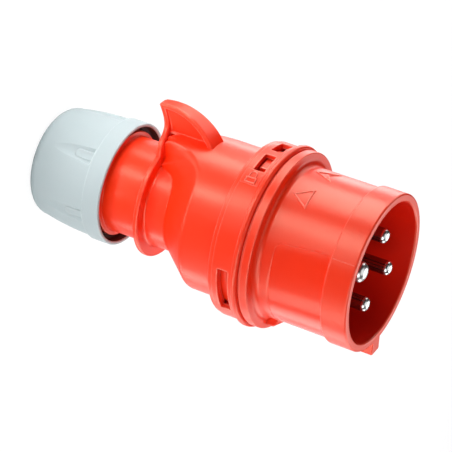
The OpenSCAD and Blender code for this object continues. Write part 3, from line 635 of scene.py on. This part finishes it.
def lug(turn):
    """Bayonet lug: a box with rounded outer edges, swept round its sector of the skirt."""
    angles = turn + np.linspace(-LUG_HALF, LUG_HALF, 16)
    box = [[SKIRT_R - 0.8, LUG_Z[0]], [LUG_R, LUG_Z[0]], [LUG_R, LUG_Z[1]], [SKIRT_R - 0.8, LUG_Z[1]]]
    path = rounded_path(box, [0, 0.35, 0.35, 0], [1, 3, 1, 1])
    return loft("lug", turned(path[None], angles))


def smooth_field():
    """Cutter for the shallow polished field between cove and collar, with a sloped rim."""
    layers = [(TUBE_R - FIELD_DEPTH, 0), (TUBE_R - FIELD_DEPTH + 0.03, 0.06), (TUBE_R - 0.03, 0.24),
              (TUBE_R + 0.03, 0.36), (TUBE_R + 0.7, 0.45)]
    return wrapped("field_cutter", FIELD_TURN, np.radians(FIELD_HALF) * TUBE_R,
                   FLANGE_TOP + 5.6, COLLAR_END - 0.6, layers, corner=2.2, slant=-0.1)


def arrow_marks():
    """Two plain arrow outlines that point back to the flange, as lines laid on the tube."""
    def place(turn, s):
        """Point on the tube: across by an angle, and s back from the mouth."""
        return [np.radians(turn) * TUBE_R, TOTAL - s]

    first = unrolled([place(0, 30.4), place(-8.4, 24.9), place(8.0, 24.7)])
    second = unrolled([place(0, 29.8), place(-8.4, 23.4), place(0, 25.6), place(8.0, 23.2)])
    return [ridge("arrow_a", first, ARROW_TURNS[0], TUBE_R, 0.6, MARK_H),
            ridge("arrow_b", second, ARROW_TURNS[1], TUBE_R, 0.55, 0.3)]


def make_shroud():
    """Shell with key rib, lid catch, seam, lugs and arrows united to it, and the smooth field cut in."""
    shell = shroud_shell()
    key_end, catch_end = TOTAL - KEY_L, FLANGE_TOP + CATCH_L
    key = rounded_bar("key", KEY_TURN, KEY_HALF,
                      [(key_end, COLLAR_R), (key_end + KEY_RISE, KEY_R), (TOTAL, KEY_R)], TUBE_R - 0.6)
    catch = rounded_bar("catch", CATCH_TURN, CATCH_HALF,
                        [(FLANGE_BOTTOM + 0.2, CATCH_R), (catch_end - CATCH_SLOPE, CATCH_R),
                         (catch_end, CATCH_R - CATCH_SLOPE)], TUBE_R - 0.8)
    seam = rounded_bar("seam", SEAM_TURN, SEAM_HALF,
                       [(COLLAR_END + 0.7, COLLAR_R + SEAM_H), (TOTAL - 0.9, COLLAR_R + SEAM_H)],
                       COLLAR_R - 0.6, edge=0.06)
    joined(shell, [key, catch, seam] + [lug(turn) for turn in LUG_TURNS])
    joined(shell, arrow_marks())
    joined(shell, [smooth_field()], "DIFFERENCE")
    return finish_shading(shell)


def faces_where(made, material, test):
    """Gives a further material to faces whose centre passes a test of radius, angle and height."""
    made.data.materials.append(material)
    count = len(made.data.polygons)
    centres = np.empty(count * 3)
    made.data.polygons.foreach_get("center", centres)
    centres = centres.reshape(-1, 3) / MM
    angle = np.degrees(np.arctan2(centres[:, 1], centres[:, 0])) % 360
    chosen = test(np.hypot(centres[:, 0], centres[:, 1]), angle, centres[:, 2])
    index = np.empty(count, np.int32)
    made.data.polygons.foreach_get("material_index", index)
    index[chosen] = len(made.data.materials) - 1
    made.data.polygons.foreach_set("material_index", index)


# ================= gland nut =================

def make_nut():
    """Nut: one closed profile of radius and height at every angle, pressed in by the flutes.

    The side narrows towards the tail with the square of the way down. A flute is hollowed by a
    circle of the radius FLUTE_CUT, and its depth grows evenly from its tip up to the collar.
    """
    z = np.concatenate([
        np.linspace(NUT_ROUND, PAD_END[0], 28)[:-1], np.linspace(*PAD_END, 16)[:-1],
        np.linspace(PAD_END[1], NUT_STEP - 0.75, 14), [NUT_STEP - 0.68, NUT_STEP - 0.55]])
    t = np.clip((NUT_SIDE_TOP - z) / (NUT_SIDE_TOP - NUT_ROUND), 0, 1)
    side = np.stack([mix(NUT_R, NUT_TAIL_R, t ** 2), z], -1)
    a = np.radians(np.linspace(-90, 0, 10))[:-1]
    end_r = NUT_TAIL_R - NUT_ROUND
    turn_in = np.stack([end_r + NUT_ROUND * np.cos(a), NUT_ROUND + NUT_ROUND * np.sin(a)], -1)
    collar = rounded_path([
        (NUT_R, NUT_STEP - 0.5), (NUT_R, NUT_STEP), (NUT_COLLAR_R, NUT_STEP), (NUT_COLLAR_R, NUT_TOP),
        (NUT_MOUTH_R, NUT_TOP), (NUT_MOUTH_R, NUT_TOP - NUT_MOUTH_L), (NUT_BORE, NUT_TOP - NUT_BORE_L),
        (NUT_BORE, HOUSING_END + 1), (SEAT_R, NUT_WALL), (CABLE_HOLE_R, NUT_WALL), (CABLE_HOLE_R, 0),
        (end_r, 0)],
        [0, 0.25, 0.35, 0.55, 0.45, 0.5, 0.5, 1, 0.5, 0.5, 0.8, 0],
        [1, 1, 6, 2, 2, 1, 10, 4, 3, 2, 3, 1], closed=False)
    path = np.concatenate([turn_in, side, collar[:-1]])
    sector = 360 / FLUTES
    # steps from a flute's middle: 1 at its edge and 4 half way to the next, fine at the edge
    steps = np.concatenate([
        np.linspace(0, 0.8, 9)[:-1], np.linspace(0.8, 1.2, 7)[:-1], np.linspace(1.2, 4, 14)])
    steps = np.concatenate([-steps[:0:-1], steps])[:-1]
    r, height = path[:, 0], path[:, 1]
    row = np.arange(len(path)) - len(turn_in)
    on_side = (row >= 0) & (row < len(side) - 1)
    growth = np.clip((height - FLUTE_TIP) / (NUT_SIDE_TOP - FLUTE_TIP), 0, 1)
    depth = np.where(on_side, FLUTE_DEPTH * growth, 0)
    width = np.sqrt(np.maximum(FLUTE_CUT ** 2 - (FLUTE_CUT - depth) ** 2, 0.05))
    width = np.where(height < FLUTE_TIP, 0.25, width)
    full_width = np.sqrt(FLUTE_CUT ** 2 - (FLUTE_CUT - FLUTE_DEPTH) ** 2)
    width = np.where(height > NUT_SIDE_TOP, full_width, width)
    edge = np.degrees(width / r)[None, :]
    u = steps[:, None]
    within = u * edge
    beyond = np.sign(u) * mix(edge, sector / 2, (np.abs(u) - 1) / 3)
    local = np.where(np.abs(u) <= 1, within, beyond)
    x = np.radians(local) * r[None, :]
    scoop = depth[None, :] - FLUTE_CUT + np.sqrt(np.maximum(FLUTE_CUT ** 2 - x ** 2, 0))
    soft = 0.03
    scoop = 0.5 * (scoop + np.sqrt(scoop ** 2 + soft ** 2)) * (depth > 0)
    # a raised pad with a round end fills the upper part of each flute
    beyond_end = np.hypot(x, np.minimum(height[None, :] - PAD_Z, 0)) - PAD_R
    scoop = scoop * (1 - PAD_FILL * (1 - smooth_step(0, 0.35, beyond_end)))
    sixth = np.stack(np.broadcast_arrays(r[None, :] - scoop, height[None, :]), -1)
    grids = [turned(sixth, local + FLUTE_TURN + k * sector) for k in range(FLUTES)]
    return finish_shading(ring_piece("gland_nut_moulding", np.concatenate(grids)))


# ================= pins =================

def pin_radius(node):
    """Radius of a pin: the earth pin is the thicker one."""
    return EARTH_R if node == "pin_earth" else PHASE_R


def make_pin(node):
    """Pin turned about its own axis: barrel, ring at the face plate, shaft and a flattened dome."""
    low, high = low_of(node), high_of(node)
    place = (low + high) / 2
    radius = pin_radius(node)
    dome_foot = high[2] - radius * DOME
    a = np.radians(np.linspace(90, 0, 14))
    dome = np.stack([radius * np.cos(a) ** DOME_POWER, high[2] - radius * DOME * (1 - np.sin(a))], -1)
    barrel = (high[0] - low[0]) / 2
    inner = barrel - WIRE_HOLE_WALL
    lower = rounded_path([
        (radius, dome_foot - 0.3), (radius, PLATE_TOP), (radius + FOOT_RING, PLATE_TOP),
        (radius + FOOT_RING, PLATE_BOTTOM), (barrel, PLATE_BOTTOM), (barrel, LEDGE_BOTTOM),
        (inner, LEDGE_BOTTOM), (inner, low[2]), (0, low[2])],
        [0, 0.1, 0.15, 0.1, 0.3, 0.3, 0.1, 0.4, 0], [10, 1, 2, 1, 2, 1, 4, 2, 1], closed=False)
    return spun(node + "_turned", np.concatenate([dome, lower]), 64, place[:2])


# ================= materials =================

def shader_group(name, inputs, outputs):
    """New shader node group with its sockets, and its input and output nodes."""
    group = bpy.data.node_groups.new(name, "ShaderNodeTree")
    for label, kind, value in inputs:
        socket = group.interface.new_socket(label, in_out="INPUT", socket_type=kind)
        socket.default_value = value
    for label, kind in outputs:
        group.interface.new_socket(label, in_out="OUTPUT", socket_type=kind)
    return group, group.nodes.new("NodeGroupInput"), group.nodes.new("NodeGroupOutput")


def add(tree, kind, values=None, **settings):
    """New shader node with its settings, and with values on its inputs by name or number."""
    made = tree.nodes.new("ShaderNode" + kind)
    for name, value in settings.items():
        setattr(made, name, value)
    for socket, value in (values or {}).items():
        made.inputs[socket].default_value = value
    return made


def wire(tree, *links):
    """Joins sockets. Each link is a node, its output, the next node and that node's input."""
    for source, output, target, socket in links:
        tree.links.new(source.outputs[output], target.inputs[socket])


def grain_group():
    """Fine moulded grain: a height from two noises, fine and coarse, mixed."""
    group, given, out = shader_group(
        "moulded_grain", [("Scale", "NodeSocketFloat", 900.0)], [("Height", "NodeSocketFloat")])
    place = add(group, "TexCoord")
    fine, coarse = add(group, "TexNoise", {"Detail": 3}), add(group, "TexNoise", {"Detail": 2})
    coarser = add(group, "Math", {1: 0.22}, operation="MULTIPLY")
    blend = add(group, "Mix", {0: 0.4})
    wire(group, (place, "Object", fine, "Vector"), (place, "Object", coarse, "Vector"),
         (given, "Scale", fine, "Scale"), (given, "Scale", coarser, 0), (coarser, 0, coarse, "Scale"),
         (fine, "Fac", blend, "A"), (coarse, "Fac", blend, "B"), (blend, "Result", out, "Height"))
    return group


def tint_group():
    """Slow variation between two colours, with a mask of the same pattern."""
    group, given, out = shader_group(
        "tint_variation",
        [("Color A", "NodeSocketColor", (1, 1, 1, 1)), ("Color B", "NodeSocketColor", (1, 1, 1, 1)),
         ("Scale", "NodeSocketFloat", 40.0)],
        [("Color", "NodeSocketColor"), ("Mask", "NodeSocketFloat")])
    place = add(group, "TexCoord")
    noise = add(group, "TexNoise", {"Detail": 4})
    ramp = add(group, "MapRange", {"From Min": 0.35, "From Max": 0.65})
    blend = add(group, "Mix", data_type="RGBA")
    wire(group, (place, "Object", noise, "Vector"), (given, "Scale", noise, "Scale"),
         (noise, "Fac", ramp, "Value"), (ramp, "Result", blend, 0), (given, "Color A", blend, RGBA_A),
         (given, "Color B", blend, RGBA_B), (blend, RGBA_RESULT, out, "Color"), (ramp, "Result", out, "Mask"))
    return group


WEAR_AND_HIGHLIGHT_REACH = 0.6


def wear_and_highlight_group():
    """Mask of rubbed edges and painted highlight lines: where the solid inside is thin near a convex edge,
    broken up by noise.
    """
    group, given, out = shader_group(
        "rubbed_edges_and_painted_highlights", [("Amount", "NodeSocketFloat", 0.5)], [("Mask", "NodeSocketFloat")])
    thin = add(group, "AmbientOcclusion", {"Distance": WEAR_AND_HIGHLIGHT_REACH * MM},
               inside=True, only_local=True, samples=6)
    ramp = add(group, "MapRange", {"From Min": 0.94, "From Max": 0.6})
    place = add(group, "TexCoord")
    noise = add(group, "TexNoise", {"Scale": 300})
    broken = add(group, "Math", operation="MULTIPLY")
    scaled = add(group, "Math", operation="MULTIPLY")
    wire(group, (thin, "AO", ramp, "Value"), (place, "Object", noise, "Vector"), (ramp, "Result", broken, 0),
         (noise, "Fac", broken, 1), (broken, 0, scaled, 0), (given, "Amount", scaled, 1),
         (scaled, 0, out, "Mask"))
    return group


RGBA_A, RGBA_B, RGBA_RESULT = 6, 7, 2  # the colour sockets of a Mix node
GRAIN, TINT, WEAR_AND_HIGHLIGHT = grain_group(), tint_group(), wear_and_highlight_group()
TINT_SCALE = 35.0
PLAIN_GLOSS = (1.0, 1.0, 1.0)
WARM_GLOSS = (1.0, 0.92, 0.7)  # the red plastic throws back a little less green and blue than white


def moulded(name, colour, other, rub_and_highlight, roughness, grain, depth, specular=0.5, metallic=0.0, gloss=PLAIN_GLOSS):
    """Moulded or turned finish: tint variation, convex edges lightened as rubbed wear and as painted
    highlight lines, grain and a varied roughness.
    """
    material = bpy.data.materials.new(name)
    material.use_nodes = True
    tree = material.node_tree
    shader = tree.nodes["Principled BSDF"]
    shader.inputs["Specular IOR Level"].default_value = specular
    shader.inputs["Specular Tint"].default_value = (*gloss, 1)
    shader.inputs["Metallic"].default_value = metallic
    tint = add(tree, "Group", node_tree=TINT)
    tint.inputs["Color A"].default_value = (*colour, 1)
    tint.inputs["Color B"].default_value = (*other, 1)
    tint.inputs["Scale"].default_value = TINT_SCALE
    edges = add(tree, "Group", {"Amount": 1.0}, node_tree=WEAR_AND_HIGHLIGHT)
    # the rub colour lightens convex edges, partly as wear and partly as painted highlight lines
    rubbed_and_highlit = add(tree, "Mix", {RGBA_B: (*rub_and_highlight, 1)}, data_type="RGBA")
    rough = add(tree, "MapRange", {"To Min": roughness[0], "To Max": roughness[1]})
    height = add(tree, "Group", {"Scale": grain}, node_tree=GRAIN)
    bump = add(tree, "Bump", {"Strength": 0.5, "Distance": depth * MM})
    wire(tree, (edges, "Mask", rubbed_and_highlit, 0), (tint, "Color", rubbed_and_highlit, RGBA_A),
         (rubbed_and_highlit, RGBA_RESULT, shader, "Base Color"), (tint, "Mask", rough, "Value"),
         (rough, "Result", shader, "Roughness"), (height, "Height", bump, "Height"),
         (bump, "Normal", shader, "Normal"))
    return material


# its pink rub colour paints light highlight lines along the convex edges, beside a little wear
RED = moulded(
    "red_moulding", (0.86, 0.027, 0.003), (0.83, 0.024, 0.0025), rub_and_highlight=(0.95, 0.39, 0.3),
    roughness=(0.3, 0.34), grain=2600, depth=0.012, specular=0.6, gloss=WARM_GLOSS)
# deeper red with less sheen for the inside of the mouth: painted shade
RED_PAINTED_SHADE = moulded(
    "red_moulding_inside_painted_shade", (0.86, 0.012, 0.002), (0.82, 0.01, 0.002), rub_and_highlight=(0.9, 0.03, 0.01),
    roughness=(0.34, 0.4), grain=2600, depth=0.012, specular=0.4, gloss=WARM_GLOSS)
RED_SMOOTH = moulded(
    "red_moulding_polished", (0.86, 0.025, 0.003), (0.84, 0.023, 0.0025), rub_and_highlight=(0.95, 0.35, 0.3),
    roughness=(0.2, 0.24), grain=2600, depth=0.004, specular=0.6, gloss=WARM_GLOSS)
NUT = moulded(
    "grey_nut_moulding", (0.365, 0.43, 0.442), (0.355, 0.42, 0.434), rub_and_highlight=(0.7, 0.78, 0.78),
    roughness=(0.5, 0.56), grain=2200, depth=0.012, specular=0.4)
# near black brown for the mouth and bore of the grey nut: painted shade
NUT_PAINTED_SHADE = moulded(
    "grey_nut_inside_painted_shade", (0.07, 0.05, 0.045), (0.06, 0.045, 0.04), rub_and_highlight=(0.12, 0.09, 0.08),
    roughness=(0.55, 0.6), grain=2200, depth=0.012, specular=0.3)
INSERT = moulded(
    "black_insert_moulding", (0.018, 0.018, 0.02), (0.022, 0.021, 0.022), rub_and_highlight=(0.06, 0.06, 0.06),
    roughness=(0.4, 0.5), grain=2200, depth=0.01)
NICKEL = moulded(
    "nickel_plating", (0.68, 0.69, 0.69), (0.65, 0.66, 0.66), rub_and_highlight=(0.85, 0.84, 0.82),
    roughness=(0.26, 0.3), grain=3000, depth=0.002, metallic=1.0)
# darker nickel for the pins' shafts below the domes: painted shade and a painted dark reflection of the
# mouth's walls
NICKEL_PAINTED_SHADE = moulded(
    "nickel_shaft_painted_shade", (0.3, 0.28, 0.27), (0.27, 0.25, 0.24), rub_and_highlight=(0.4, 0.38, 0.36),
    roughness=(0.2, 0.26), grain=3000, depth=0.002, metallic=1.0)
STEEL = moulded(
    "zinc_steel", (0.62, 0.62, 0.62), (0.56, 0.56, 0.57), rub_and_highlight=(0.75, 0.75, 0.75),
    roughness=(0.28, 0.4), grain=2500, depth=0.006, metallic=1.0)
BRASS = moulded(
    "rolled_brass", (0.78, 0.56, 0.22), (0.7, 0.5, 0.2), rub_and_highlight=(0.85, 0.66, 0.3),
    roughness=(0.25, 0.36), grain=2500, depth=0.004, metallic=1.0)
RUBBER = moulded(
    "black_rubber", (0.02, 0.02, 0.021), (0.028, 0.028, 0.028), rub_and_highlight=(0.05, 0.05, 0.05),
    roughness=(0.62, 0.75), grain=1500, depth=0.02, specular=0.35)
NATURAL = moulded(
    "natural_plastic", (0.76, 0.75, 0.69), (0.72, 0.71, 0.66), rub_and_highlight=(0.82, 0.81, 0.76),
    roughness=(0.42, 0.5), grain=2000, depth=0.01, specular=0.45)


def wear(made, material):
    """Puts one material on the whole of a piece."""
    made.data.materials.clear()
    made.data.materials.append(material)


def dress_node(node, material):
    """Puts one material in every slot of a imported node, whose mesh stays as it is."""
    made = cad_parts[node]
    if not made.data.materials:
        made.data.materials.append(material)
    for slot in made.material_slots:
        slot.material = material


# ================= camera, lights, stage =================

CAMERA_AZIMUTH, CAMERA_ELEVATION, CAMERA_ROLL = 259.884, 22.736, 109.498
CAMERA_DISTANCE, CAMERA_FOV = 0.75405, 11.57
CAMERA_AIM = Vector((0.00255, -0.00046, 0.06947))


def direction(azimuth, elevation):
    """Unit vector at an azimuth about +Z and an elevation above the floor."""
    az, el = math.radians(azimuth), math.radians(elevation)
    return Vector((math.cos(el) * math.cos(az), math.cos(el) * math.sin(az), math.sin(el)))


def make_camera():
    """Camera that looks at its aim from a direction and distance, rolled about its line of sight."""
    back, roll = direction(CAMERA_AZIMUTH, CAMERA_ELEVATION), math.radians(CAMERA_ROLL)
    level = Vector((0, 0, 1)).cross(back).normalized()
    right = math.cos(roll) * level + math.sin(roll) * back.cross(level)
    turn = Matrix((right, back.cross(right), back)).transposed().to_4x4()
    data = bpy.data.cameras.new("camera")
    data.angle = math.radians(CAMERA_FOV)
    data.clip_start = 0.01
    camera = bpy.data.objects.new("camera", data)
    bpy.context.scene.collection.objects.link(camera)
    camera.matrix_world = Matrix.Translation(CAMERA_AIM + CAMERA_DISTANCE * back) @ turn
    bpy.context.scene.camera = camera


PLUG_MIDDLE, FIN_LEVEL = (0, 0, 0.075), (0, 0, 0.05)
NUT_LEVEL, NUT_FOOT = (0, 0, 0.03), (0, 0, 0.029)
FRONT_CORNER = (-0.018, -0.062, 0.1)
LAMPS = [  # name, azimuth, elevation, distance, width, height, brightness, and the aim unless the middle
    # low and far: the long reflections in the tube
    ("lamp_edge", 125, -13, 0.26, 0.10, 0.12, 3.0),
    ("lamp_upper", 180, -13, 0.26, 0.19, 0.12, 7.0),
    ("lamp_front", 235, -13, 0.26, 0.10, 0.12, 7.1),
    ("lamp_side", 257, -13, 0.26, 0.10, 0.12, 2.1),
    ("lamp_low", 345, -13, 0.26, 0.10, 0.12, 2.2),
    ("lamp_rear", 20, -13, 0.26, 0.10, 0.12, 1.7),
    # near and slim: the reflections in the body, the neck and the nut
    ("strip_edge", 140, 0, 0.085, 0.016, 0.052, 4.0, NUT_FOOT),
    ("strip_upper", 188, 0, 0.085, 0.022, 0.052, 5.5, NUT_FOOT),
    ("strip_side", 240, 0, 0.085, 0.014, 0.052, 6.5, NUT_FOOT),
    ("strip_low", 0, 0, 0.085, 0.022, 0.052, 3.6, NUT_FOOT),
    # on the floor, facing up: the edges that lean towards the nut
    ("lamp_foot", 0, -90, 0.098, 0.09, 0.011, 6.5, FRONT_CORNER),
    # all round: the plain light on every side
    ("lamp_fin", 148, 14, 0.5, 0.22, 0.26, 2.6, FIN_LEVEL),
    ("lamp_under", 332, 4, 0.5, 0.25, 0.2, 4.5, NUT_LEVEL),
    ("lamp_left", 310, 30, 0.7, 0.45, 0.45, 3.3),
    ("lamp_back", 30, 20, 0.7, 0.45, 0.45, 2.6),
    ("lamp_right", 80, 45, 0.7, 0.45, 0.45, 3.6),
    ("lamp_over", 200, 85, 0.7, 0.6, 0.6, 1.15),
]


def softbox(name, azimuth, elevation, distance, width, height, brightness, aim=PLUG_MIDDLE):
    """Area lamp at a direction from the aim, facing it, with its brightness set per area."""
    away = direction(azimuth, elevation)
    data = bpy.data.lights.new(name, "AREA")
    data.shape = "RECTANGLE"
    data.size, data.size_y = width, height
    data.energy = brightness * width * height * math.pi
    lamp = bpy.data.objects.new(name, data)
    bpy.context.scene.collection.objects.link(lamp)
    facing = away.to_track_quat("Z", "Y").to_matrix().to_4x4()
    lamp.matrix_world = Matrix.Translation(Vector(aim) + distance * away) @ facing
    lamp.visible_camera = False


FLOOR_HALF, FLOOR_DROP = 3.0, 0.0001
FLOOR_TONE, FLOOR_WHITE, FLOOR_GLOW = 0.8, 0.8, 1.1
SHADE_Y, SHADE_TONE = (-0.01, 0.1), (0.12, 1.1)
WORLD_LIGHT = 0.02


def floor_material():
    """Pale floor. A camera sees it nearly white with the plug's shadow, and gloss sees it dark in front."""
    material = bpy.data.materials.new("pale_floor")
    material.use_nodes = True
    tree = material.node_tree
    shader = tree.nodes["Principled BSDF"]
    shader.inputs["Roughness"].default_value = 0.8
    shader.inputs["Specular IOR Level"].default_value = 0.2
    path, place, axes = add(tree, "LightPath"), add(tree, "TexCoord"), add(tree, "SeparateXYZ")
    dark = add(tree, "MapRange", {
        "From Min": SHADE_Y[0], "From Max": SHADE_Y[1],
        "To Min": SHADE_TONE[0] * FLOOR_TONE, "To Max": SHADE_TONE[1] * FLOOR_TONE})
    tone = add(tree, "Mix", {RGBA_A: (FLOOR_TONE, FLOOR_TONE, FLOOR_TONE, 1)}, data_type="RGBA")
    glow = add(tree, "Emission", {"Strength": FLOOR_GLOW})
    seen = add(tree, "Math", {1: FLOOR_WHITE}, operation="MULTIPLY")
    blend = add(tree, "MixShader")
    wire(tree, (place, "Object", axes, 0), (axes, "Y", dark, "Value"), (dark, "Result", tone, RGBA_B),
         (path, "Is Glossy Ray", tone, 0), (tone, RGBA_RESULT, shader, "Base Color"),
         (path, "Is Camera Ray", seen, 0), (seen, 0, blend, 0), (shader, 0, blend, 1), (glow, 0, blend, 2),
         (blend, 0, tree.nodes["Material Output"], "Surface"))
    return material


def make_stage():
    """Floor, and a world that a camera sees as white but that gives hardly any light."""
    mesh = bpy.data.meshes.new("floor")
    corners = [(FLOOR_HALF * x, FLOOR_HALF * y, 0) for x, y in ((-1, -1), (1, -1), (1, 1), (-1, 1))]
    mesh.from_pydata(corners, [], [(0, 1, 2, 3)])
    mesh.materials.append(floor_material())
    floor = bpy.data.objects.new("floor", mesh)
    bpy.context.scene.collection.objects.link(floor)
    floor.location.z = -FLOOR_DROP
    world = bpy.data.worlds.new("studio")
    bpy.context.scene.world = world
    world.use_nodes = True
    tree = world.node_tree
    ground = tree.nodes["Background"]
    ground.inputs["Color"].default_value = (1, 1, 1, 1)
    path = add(tree, "LightPath")
    level = add(tree, "MapRange", {"To Min": WORLD_LIGHT, "To Max": 1.0})
    wire(tree, (path, "Is Camera Ray", level, "Value"), (level, "Result", ground, "Strength"))


# ================= assembly =================

def in_mouth(r, angle, z):
    """Inner wall of the shroud, up to its rounded rim, where the red is painted deeper as shade."""
    return (r < MOUTH_R + 0.02) & (z < TOTAL - 0.7)


def in_field(r, angle, z):
    """Floor of the smooth field on the tube."""
    floor_r = TUBE_R - FIELD_DEPTH
    across = np.abs(angle - FIELD_TURN) < FIELD_HALF + 4
    return (r < floor_r + 0.02) & (r > floor_r - 0.05) & across & (z > FLANGE_TOP + 4) & (z < COLLAR_END)


def in_nut(r, angle, z):
    """Mouth and bore of the nut, above its end wall, where the grey is painted dark as shade."""
    wall = np.where(z > NUT_TOP - 4.5, NUT_MOUTH_R, NUT_BORE)
    return (r < wall + 0.02) & (z > NUT_WALL) & (z < NUT_TOP - 0.4)


make_camera()
for lamp_row in LAMPS:
    softbox(*lamp_row)
make_stage()
bpy.context.scene.view_settings.view_transform = "Standard"

housing = make_rear_housing()
wear(housing, RED)
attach(housing, "housing")
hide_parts("rear_housing")

shroud = make_shroud()
wear(shroud, RED)
# the mouth's inner wall gets the deeper red, painted shade
faces_where(shroud, RED_PAINTED_SHADE, in_mouth)
faces_where(shroud, RED_SMOOTH, in_field)
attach(shroud, "front")
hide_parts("shroud")

nut = make_nut()
wear(nut, NUT)
# the nut's mouth and bore get the dark brown, painted shade
faces_where(nut, NUT_PAINTED_SHADE, in_nut)
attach(nut, "nut")
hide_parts("gland_nut")

for pin_node in PINS:
    pin = make_pin(pin_node)
    wear(pin, NICKEL)
    # the shafts below the domes get the darker nickel, painted shade
    shoulder = high_of(pin_node)[2] - DOME * pin_radius(pin_node) - 0.2
    faces_where(pin, NICKEL_PAINTED_SHADE, lambda r, angle, z: z < shoulder)
    finish_shading(pin)
    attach(pin, "front")
    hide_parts(pin_node)

INNER_FINISHES = [
    (STEEL, ["terminal_screw_" + core for core in CORES] + ["plate_screw_a", "plate_screw_b"]),
    (BRASS, ["wire_leaf_" + core for core in CORES]),
    (INSERT, ["contact_carrier", "face_plate"]),
    (RUBBER, ["joint_seal", "cable_seal"]),
    (NATURAL, ["pressure_ring", "clamp_cage"]),
]
for finish, inner_nodes in INNER_FINISHES:
    for inner_node in inner_nodes:
        dress_node(inner_node, finish)
